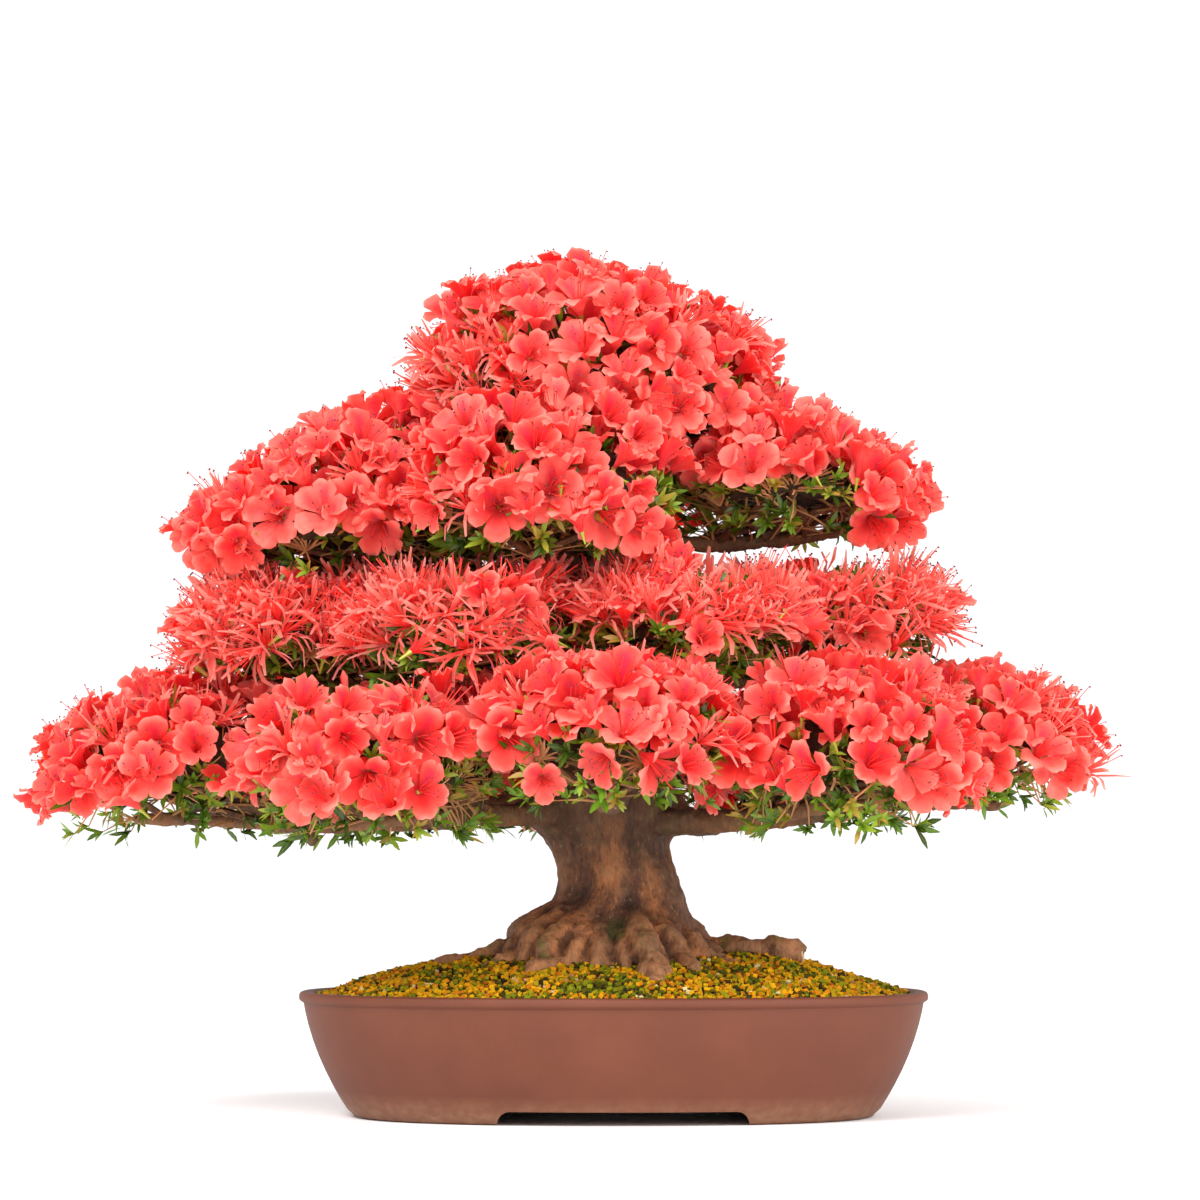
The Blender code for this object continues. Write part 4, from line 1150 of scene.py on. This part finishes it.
blooms = {kind: [modelBloom(kind, seed) for seed in seeds] for kind, seeds in
          (("open", (1, 2, 3, 21)), ("cupped", (4, 5, 22)), ("flat", (6, 7)), ("strap", (8, 9, 10, 12, 13)))}
blooms["show"] = [modelBloom("open", seed, 6, 6) for seed in (31, 32, 33)]
blooms["underRound"] = [modelBloom("cupped", seed, 2, 3, False) for seed in (41, 42)]
blooms["underStrap"] = [modelBloom("strap", seed, 1, 2, False) for seed in (43, 44)]
bud = modelBud()
leafShapes = [modelLeaf(20, 5.0, 3.5), modelLeaf(23, 5.4, 1.2), modelLeaf(16, 4.4, 2.2)]
twigRod = rodTemplate("twigRod", twigBrown, 3, [(0, 1, 0, 0), (0.5, 0.85, 1.6, 1.0), (1, 0.55, 0, 0)])
twigShape = shapeOf(twigRod)
removed(twigRod)
limbRod = rodTemplate("limbRod", bark, 5, [(0, 1, 0, 0), (0.3, 0.92, 0.9, 0.6), (0.65, 0.72, -0.6, 0.8), (1, 0.5, 0, 0)])
limbShape = shapeOf(limbRod)
removed(limbRod)
print("blooms, leaves and twigs modelled")


# dressing each cushion

dressLook = dict(grow=14, bloomGap=25.5, strapGap=16.5, crossGap=18, underGap=27, underStrapGap=23.5, leafGap=17, rosetteLeaves=(5, 8))  # mm
cameraSpot = Vector((potCentre.x - 0.0108, -3.2, 0.2095))
placedBlooms = []  # (place, axis, kind, tint, size, cushion), places in millimetres

# where the photo shows leaves and twigs and no flowers: left, right, low and high in mm, seen from the front
leafyStretches = [
    (21, 206, 448, 522), (-300, -58, 424, 484), (-40, -20, 424, 476), (-284, -147, 326, 380), (-62, 66, 366, 404),
    (70, 210, 352, 392), (-392, -254, 222, 272), (-150, 26, 222, 300), (-118, -92, 582, 622), (-24, -8, 636, 660),
    (48, 240, 424, 452), (180, 236, 222, 262), (270, 330, 222, 256), (350, 400, 238, 268), (225, 320, 346, 384),
    (-440, -375, 324, 360), (-300, -236, 532, 564), (48, 104, 648, 690),
]
# blooms that stand out in the photo: place to the right and height in mm, seen from the front, then how far each
# faces right, front and up, and its size
standOuts = [
    (-51, 499, 0, 1, 0.05, 1.12), (-94, 485, -0.1, 1, -0.15, 1.06), (-170, 497, 0.25, 1, 0, 1.0),
    (-126, 507, -0.6, 0.5, 0.6, 1.0), (-158, 543, -0.2, 0.5, 0.9, 1.0), (-28, 521, 0.3, 1, 0.35, 1.0),
    (-8, 478, 0.35, 0.9, -0.35, 1.05), (19, 470, 0.5, 0.9, -0.2, 1.0), (36, 458, 0.5, 0.7, -0.4, 0.95),
    (-211, 489, 0, 1, 0, 1.0), (-189, 466, -0.2, 0.7, -0.6, 0.95), (-272, 478, -0.3, 1, 0, 1.08),
    (-308, 470, -0.5, 0.9, -0.2, 1.0), (-338, 458, -0.6, 0.8, -0.4, 0.95), (-17, 434, 0, 0.8, 0.6, 1.0),
    (-76, 400, 0.1, 1, -0.2, 1.0), (46, 404, 0.5, 0.8, 0.2, 0.85), (200, 384, 0.2, 1, -0.1, 1.02),
    (-85, 301, 0.1, 1, -0.3, 1.05), (-155, 298, 0.2, 1, -0.1, 1.08), (-198, 265, 0, 0.9, -0.5, 1.05),
    (-247, 258, -0.3, 0.9, -0.5, 1.12), (-57, 263, 0.1, 1, -0.4, 0.72), (-366, 291, 0.1, 1, -0.2, 1.12),
    (-396, 273, -0.2, 1, -0.2, 1.05), (-428, 258, -0.4, 0.9, -0.4, 0.95), (98, 288, 0, 1, -0.1, 1.16),
    (-13, 278, -0.5, 0.6, -0.5, 0.85), (34, 278, 0.7, 0.4, -0.5, 1.0), (21, 322, -0.3, 0.9, 0.3, 1.0),
    (-31, 330, 0, 0.8, 0.6, 1.05), (254, 266, 0, 1, -0.3, 1.05), (358, 274, 0.3, 1, -0.2, 1.0),
    (300, 280, -0.2, 1, -0.1, 1.0), (37, 532, -0.1, 1, -0.1, 1.02), (72, 521, 0.2, 0.8, -0.6, 1.0),
    (57, 565, 0, 1, 0.1, 1.0), (106, 546, 0.2, 1, 0, 1.05), (136, 524, 0.5, 0.8, -0.3, 0.72),
    (155, 540, 0.2, 1, 0, 1.12), (187, 535, 0.3, 1, 0.1, 0.95), (212, 507, 0.2, 1, 0, 1.1),
    (237, 510, 0.4, 0.9, 0, 1.0), (232, 475, 0.4, 0.8, -0.3, 1.0), (207, 546, 0.3, 0.6, 0.8, 1.0),
    (-43, 669, -0.1, 0.8, 0.6, 1.08), (-81, 659, -0.5, 0.7, 0.5, 1.0), (31, 618, 0, 1, 0, 1.0),
    (58, 612, 0.2, 1, 0.1, 1.05), (109, 612, 0.5, 0.8, 0.3, 0.95), (8, 571, 0, 1, 0.2, 1.0),
    (51, 567, 0, 1, 0.1, 1.05), (102, 564, 0.2, 1, 0.1, 1.05), (-33, 581, 0, 1, 0.2, 1.05),
    (31, 669, 0.2, 0.5, 0.8, 1.0), (-181, 320, -0.2, 0.9, 0.5, 1.0), (-118, 340, -0.1, 0.7, 0.7, 1.0),
    (-82, 340, 0.1, 0.9, 0.5, 1.05), (170, 330, -0.1, 0.8, 0.6, 1.0), (215, 318, 0.2, 0.9, 0.4, 1.05),
    (-326, 456, -0.6, 0.6, -0.6, 1.0), (-316, 448, -0.1, 0.8, -0.7, 1.0), (-300, 452, 0.1, 0.9, -0.5, 0.9),
    (224, 468, 0.4, 0.7, -0.6, 0.95), (208, 470, 0.1, 0.8, -0.6, 0.9), (366, 318, 0.8, 0.3, 0.5, 1.05),
    (372, 300, 0.9, 0.4, 0.2, 1.0), (121, 578, 0.8, 0.3, 0.5, 1.0), (-100, 650, -0.5, 0.5, 0.7, 1.05),
    (-230, 300, -0.1, 1, 0.1, 1.1), (-270, 284, -0.2, 1, -0.2, 1.0), (330, 312, 0.3, 0.8, 0.6, 1.0),
]


def seenFromFront(point):  # where a point stands when looked at from the front, in millimetres
    nearness = 3200 / (3200 + point[1])
    return point[0] * nearness, 209.5 + (point[2] - 209.5) * nearness


def inLeafyStretch(point, loose=0):
    right, up = seenFromFront(point)
    return point[1] < 60 and any(left + loose < right < end - loose and low < up < high - loose
                                 for left, end, low, high in leafyStretches)


def frontOfCushions(right, up):  # the first cushion met by looking in from the front, and the place on it
    for depth in range(-320, 300, 3):
        point = (right * (3200 + depth) / 3200, depth, 209.5 + (up - 209.5) * (3200 + depth) / 3200)
        for name in sprays:
            if depthIn(name, point) < 1.1:
                return name, Vector(point)
    return None, None


def strapShare(name, spot):  # where the narrow-petalled flowers grow
    if sprays[name][4] == "strap":
        return 0.9
    if name == "crown" and spot.x < -70 and spot.z < 620:
        return 0.8
    if name == "low_left" and spot.x > -330:
        return 0.35
    if name == "low_right" and spot.x < 250:
        return 0.35
    return 0.06


def clearOfOthers(name, point, limit=0.94):
    return all(other == name or depthIn(other, point) > limit for other in sprays)


def aimed(axis, spin):
    return axis.to_track_quat("Z", "Y").to_matrix().to_4x4() @ Matrix.Rotation(spin, 4, "Z")


def placeStandOuts():
    rng = random.Random(77)
    for right, up, toRight, toFront, toTop, size in standOuts:
        name, spot = frontOfCushions(right, up)
        if name:
            axis = Vector((toRight, -toFront, toTop)).normalized()
            placedBlooms.append((spot, axis, "show", rng.uniform(0.1, 1.0), size * 0.92, name))


def placeBlooms(name):
    rng = random.Random(sum(map(ord, name)))
    middle, half, (branch, split, top), _, _ = sprays[name]
    strappy = sprays[name][4] == "strap"
    spots = []
    for _ in range(5200):
        fall = math.acos(rng.uniform(0.0, 1)) / (math.pi / 2)
        angle = rng.uniform(0, 2 * math.pi)
        spot = domeSpot(name, angle, fall, dressLook["grow"] * rng.uniform(0.75, 1.15))
        if fall > 0.88:
            spot.z -= rng.uniform(0, 0.35) * (split - branch)
        if inLeafyStretch(spot, 4) or fall > 0.86 and spot.y > -40 and math.sin(angle * 3 + middle[0]) > 0.1:
            continue
        gap = dressLook["strapGap"] if strappy else dressLook["bloomGap"]
        if any((spot - other[0]).length < gap for other in spots):
            continue
        if not clearOfOthers(name, spot, 1.02):
            continue
        if any((spot - other[0]).length < dressLook["crossGap"] for other in placedBlooms):
            continue
        spots.append((spot, angle, fall))
    for spot, angle, fall in spots:
        normal = domeNormal(name, angle, fall)
        axis = normal + Vector((rng.gauss(0, 0.46), rng.gauss(0, 0.46), 0.26 + rng.gauss(0, 0.42)))
        axis.normalize()
        kind = "strap" if rng.random() < strapShare(name, spot) else rng.choices(("open", "cupped", "flat"), (5, 6, 1))[0]
        size = rng.uniform(0.94, 1.2) if kind == "strap" else rng.uniform(0.76, 0.98)
        placedBlooms.append((spot, axis, kind, rng.uniform(0, 1.0), size, name))
    # half hidden blooms fill the gaps from below
    kind, under = "underStrap" if strappy else "underRound", []
    gap = dressLook["underStrapGap"] if strappy else dressLook["underGap"]
    for _ in range(1200):
        fall, angle = math.acos(rng.uniform(0.0, 1)) / (math.pi / 2), rng.uniform(0, 2 * math.pi)
        spot = domeSpot(name, angle, fall, -1)
        if inLeafyStretch(spot, 4) or fall > 0.86 or not clearOfOthers(name, spot, 1.02):
            continue
        if any((spot - other).length < gap for other in under):
            continue
        under.append(spot)
        axis = domeNormal(name, angle, fall) + Vector((rng.gauss(0, 0.4), rng.gauss(0, 0.4), rng.gauss(0, 0.4)))
        placedBlooms.append((spot, axis.normalized(), kind, rng.uniform(0, 0.6), rng.uniform(0.75, 0.95), name))


placeStandOuts()
for name in sprays:
    placeBlooms(name)
print(len(placedBlooms), "blooms placed")


def rosette(rng, place, axis, tone, size, leafGroups, count=None):
    count = count or rng.randint(*dressLook["rosetteLeaves"])
    base = world(place)
    start = rng.uniform(0, 6.28)
    for i in range(count):
        lean = rng.uniform(0.35, 1.15)
        turn = aimed(axis, start + i * 6.283 / count + rng.uniform(-0.3, 0.3))
        tip = Matrix.Rotation(math.pi / 2 - lean, 4, "X")
        scale = size * rng.uniform(0.75, 1.1)
        which = rng.randrange(3)
        leafGroups[which][0].append(Matrix.Translation(base) @ turn @ tip @ Matrix.Scale(scale, 4))
        leafGroups[which][1].append(min(1, max(0, tone + rng.gauss(0, 0.14))))


def innerMass(name):  # painted shade for the inside of a cushion: one dark closed lump well under its leaves
    middle, half, (branch, split, top), _, _ = sprays[name]
    deselectAll()
    bpy.ops.mesh.primitive_ico_sphere_add(subdivisions=3, radius=1, location=(0, 0, 0))
    lump = bpy.context.object

    def shape(co):
        for i, (x, y, z) in enumerate(co):
            fall = 1 - math.asin(max(-1, min(1, abs(z)))) / (math.pi / 2)
            spot = domeSpot(name, math.atan2(y, x), fall, -17)
            ripple = 1 + 0.07 * math.sin(9 * x + 5 * z + middle[0]) * math.cos(8 * y - 3 * z)
            floor = split + 4 + 3 * math.sin(7 * x + 6 * y)
            height = max(floor + 6, spot.z) if z > 0 else floor
            spot = Vector((middle[0] + (spot.x - middle[0]) * ripple, middle[1] + (spot.y - middle[1]) * ripple, height))
            co[i] = world(spot)
        return co

    moulded(lump, shape)
    lump.data.materials.append(paintedShadeInside)
    mass = shapeOf(lump)
    removed(lump)
    return mass


def dress(name):
    rng = random.Random(sum(map(ord, name)) + 5)
    middle, half, (branch, split, top), _, _ = sprays[name]
    line = branchLine(name)
    leafGroups = [([], []) for _ in leafShapes]
    twigs, limbs, buds = ([], []), ([], []), ([], [])
    own = [b for b in placedBlooms if b[5] == name]
    upper = [b for b in own if not b[2].startswith("under")]
    # limbs fan out from the branch, below the cushion
    forks = []
    for i in range(14):
        share = 0.45 + 0.55 * (i + rng.random()) / 14
        base = line[min(14, int(share * 14))]
        angle = i * 2.4 + rng.uniform(-0.5, 0.5)
        reach = rng.uniform(0.55, 0.85)
        end = Vector((middle[0] + half[0] * reach * math.cos(angle), middle[1] + half[1] * reach * math.sin(angle),
                      split + rng.uniform(-10, 8)))
        limbs[0].append(between(world(base), world(end), rng.uniform(2.6, 4.2) * mm))
        limbs[1].append(rng.random())
        for t in (0.35, 0.6, 0.8, 1.0):
            forks.append(base.lerp(end, t))
    for spot in line[7:]:
        forks.append(spot)

    def twigTo(place, thick):
        fork = min(forks, key=lambda f: (f - place).length)
        if (fork - place).length > 4:
            twigs[0].append(between(world(fork), world(place), thick * mm))
            twigs[1].append(rng.random())

    for spot, axis, kind, tint, size, _ in upper:
        twigTo(spot - axis * 27, 0.9)
    # leaves between the blooms
    placedLeaves = []
    for _ in range(1200):
        angle, fall = rng.uniform(0, 6.283), math.acos(rng.uniform(0, 1)) / (math.pi / 2)
        spot = domeSpot(name, angle, fall, 8)
        gap = 12 if inLeafyStretch(spot) else dressLook["leafGap"]
        if any((spot - b[0]).length < 18 for b in upper):
            continue
        if any((spot - other).length < gap for other in placedLeaves):
            continue
        if not clearOfOthers(name, spot, 0.95):
            continue
        placedLeaves.append(spot)
        normal = domeNormal(name, angle, fall)
        place = spot - normal * rng.uniform(8, 18)
        axis = (normal + Vector((rng.gauss(0, 0.3), rng.gauss(0, 0.3), 0.3))).normalized()
        rosette(rng, place, axis, rng.uniform(0.35, 1.0), rng.uniform(0.6, 0.95), leafGroups)
        twigTo(place, 1.0)
    # leaves round the rim and under the cushion
    for _ in range(84):
        angle = rng.uniform(0, 6.283)
        share = rng.uniform(0.35, 0.98) ** 0.6
        drop = rng.uniform(-8, 41 if name.startswith("low") else 26) * (0.5 + 0.5 * share)
        place = Vector((middle[0] + half[0] * share * math.cos(angle) * 0.93,
                        middle[1] + half[1] * share * math.sin(angle) * 0.93, split - drop))
        if not clearOfOthers(name, place, 0.85):
            continue
        axis = Vector((math.cos(angle) * share, math.sin(angle) * share, rng.uniform(-0.5, 0.6))).normalized()
        rosette(rng, place, axis, rng.uniform(0.15, 1.0), rng.uniform(0.6, 0.95), leafGroups)
        twigTo(place, 1.0)
    # darker leaves further in, their dark tints painted shade
    for _ in range(22):
        angle, fall = rng.uniform(0, 6.283), math.acos(rng.uniform(0, 1)) / (math.pi / 2)
        normal = domeNormal(name, angle, fall)
        place = domeSpot(name, angle, fall) - normal * rng.uniform(12, 24)
        rosette(rng, place, normal, rng.uniform(0.0, 0.5), 1.1, leafGroups, 6)
    # bare twigs that cross under the leaves
    for _ in range(110):
        fork = rng.choice(forks)
        angle, reach = rng.uniform(0, 6.283), rng.uniform(18, 55)
        place = fork + Vector((math.cos(angle) * reach, math.sin(angle) * reach, rng.uniform(-6, 24)))
        if depthIn(name, place) < 1.0 and clearOfOthers(name, place, 1.0):
            twigs[0].append(between(world(fork), world(place), rng.uniform(0.7, 1.5) * mm))
            twigs[1].append(rng.random())
    # more of them where no flowers hide the wood
    for _ in range(520):
        angle, fall = rng.uniform(0, 6.283), math.acos(rng.uniform(0, 1)) / (math.pi / 2)
        place = domeSpot(name, angle, fall, -2) - domeNormal(name, angle, fall) * rng.uniform(0, 9)
        if (inLeafyStretch(place) or fall > 0.85) and rng.random() < 0.6:
            twigTo(place, rng.uniform(0.8, 1.6))
    for _ in range(4):
        angle, fall = rng.uniform(0, 6.283), rng.uniform(0.1, 0.95)
        spot = domeSpot(name, angle, fall, 12)
        if clearOfOthers(name, spot):
            normal = domeNormal(name, angle, fall)
            buds[0].append(Matrix.Translation(world(spot - normal * 6)) @ aimed(normal, 0))
            buds[1].append(0.0)
    groups = [(shape, *group) for shape, group in zip(leafShapes, leafGroups)]
    # the dark inner lump of painted shade
    inside = (innerMass(name), [Matrix.Identity(4)], [0.5])
    leaves = fused("leafyTwigs." + name, groups + [(twigShape, *twigs), (limbShape, *limbs), inside])
    worn(leaves, "leaves", "leaves_" + name)
    flowerGroups = {}
    for spot, axis, kind, tint, size, _ in own:
        which = (kind, rng.randrange(len(blooms[kind])))
        group = flowerGroups.setdefault(which, ([], []))
        place = world(spot - axis * (20 if kind == "show" else 17))
        # the marked petal points up, as on the plant
        turn = aimed(axis, 0)
        upper = turn.to_3x3() @ Vector((0, 1, 0))
        flat = (Vector((0, 0, 1)) - axis * axis.z)
        spin = 0.0
        if flat.length > 0.05:
            flat.normalize()
            spin = math.atan2(upper.cross(flat).dot(axis), upper.dot(flat))
        spin += rng.gauss(0, 0.35)
        group[0].append(Matrix.Translation(place) @ turn @ Matrix.Rotation(spin, 4, "Z") @ Matrix.Scale(size, 4))
        group[1].append(tint)
    groups = [(blooms[kind][index], *group) for (kind, index), group in flowerGroups.items()]
    flowers = fused("blooms." + name, groups + [(bud, *buds)])
    worn(flowers, "petals", "flowers_" + name)
    return sum(len(p.data.loops) - 2 * len(p.data.polygons) for p in (leaves, flowers))


foliage = sum(dress(name) for name in sprays)
print("dressed,", foliage, "triangles of leaf and bloom")


# the pieces kept from the frame

def netSkin():
    # black polyethylene net, 2 mm mesh
    material, tree, shader, output = newMaterial("polyethylene net")
    where = addNode(tree, "TexCoord").outputs["Object"]
    weave = addNode(tree, "TexBrick", {"Scale": 500.0, "Mortar Size": 0.02}, {"Vector": where})
    colour = mixed(tree, weave.outputs["Fac"], "#16181A", "#2C2F31")
    tree.links.new(colour, shader.inputs["Base Color"])
    shader.inputs["Roughness"].default_value = 0.45
    shader.inputs["IOR"].default_value = 1.51
    return material


def gritSkin():
    # coarse pumice grit, 5 mm stones
    material, tree, shader, output = newMaterial("pumice grit")
    where = addNode(tree, "TexCoord").outputs["Object"]
    stones = addNode(tree, "TexVoronoi", {"Scale": 200.0}, {"Vector": where})
    colour = mixed(tree, stones.outputs["Distance"], "#CFC6B2", "#8F8674")
    tree.links.new(colour, shader.inputs["Base Color"])
    shader.inputs["Roughness"].default_value = 0.9
    bumped(tree, shader, stones.outputs["Distance"], 1.5)
    return material


for names, material in ((("drain_screen_left", "drain_screen_right"), netSkin()), (("drainage_grit",), gritSkin())):
    for name in names:
        for slot in frame["nodes"][name].material_slots:
            slot.material = material


# floor, light and camera

def stageAndLight():
    deselectAll()
    bpy.ops.mesh.primitive_plane_add(size=14, location=(0, 3, -0.0005))
    floor = placed(bpy.context.object)
    floor.name = "studioFloor"
    material, tree, shader, output = newMaterial("pale studio floor")
    shader.inputs["Base Color"].default_value = hexColour("#FCFCFC")
    shader.inputs["Roughness"].default_value = 0.8
    floor.data.materials.append(material)
    scene = bpy.context.scene
    scene.world = bpy.data.worlds.new("paleStudio")
    scene.world.use_nodes = True
    background = scene.world.node_tree.nodes["Background"]
    background.inputs["Color"].default_value = hexColour("#FFFFFF")
    background.inputs["Strength"].default_value = 1.12
    for name, spot, power, size in (("keyLight", (-1.2, -2.2, 2.6), 118, 1.6), ("fillLight", (1.8, -2.0, 1.2), 50, 1.6)):
        bpy.ops.object.light_add(type="AREA", location=spot)
        light = bpy.context.object
        light.name = name
        light.data.energy = power
        light.data.size = size
        light.rotation_euler = (Vector((0, 0, 0.35)) - Vector(spot)).to_track_quat("-Z", "Y").to_euler()
    scene.view_settings.view_transform = "Standard"


stageAndLight()
bpy.ops.object.camera_add(location=cameraSpot, rotation=(math.radians(93.588), 0, 0))
camera = bpy.context.object
camera.data.lens = 119.9
camera.data.sensor_width = 36
camera.data.clip_end = 50
bpy.context.scene.camera = camera
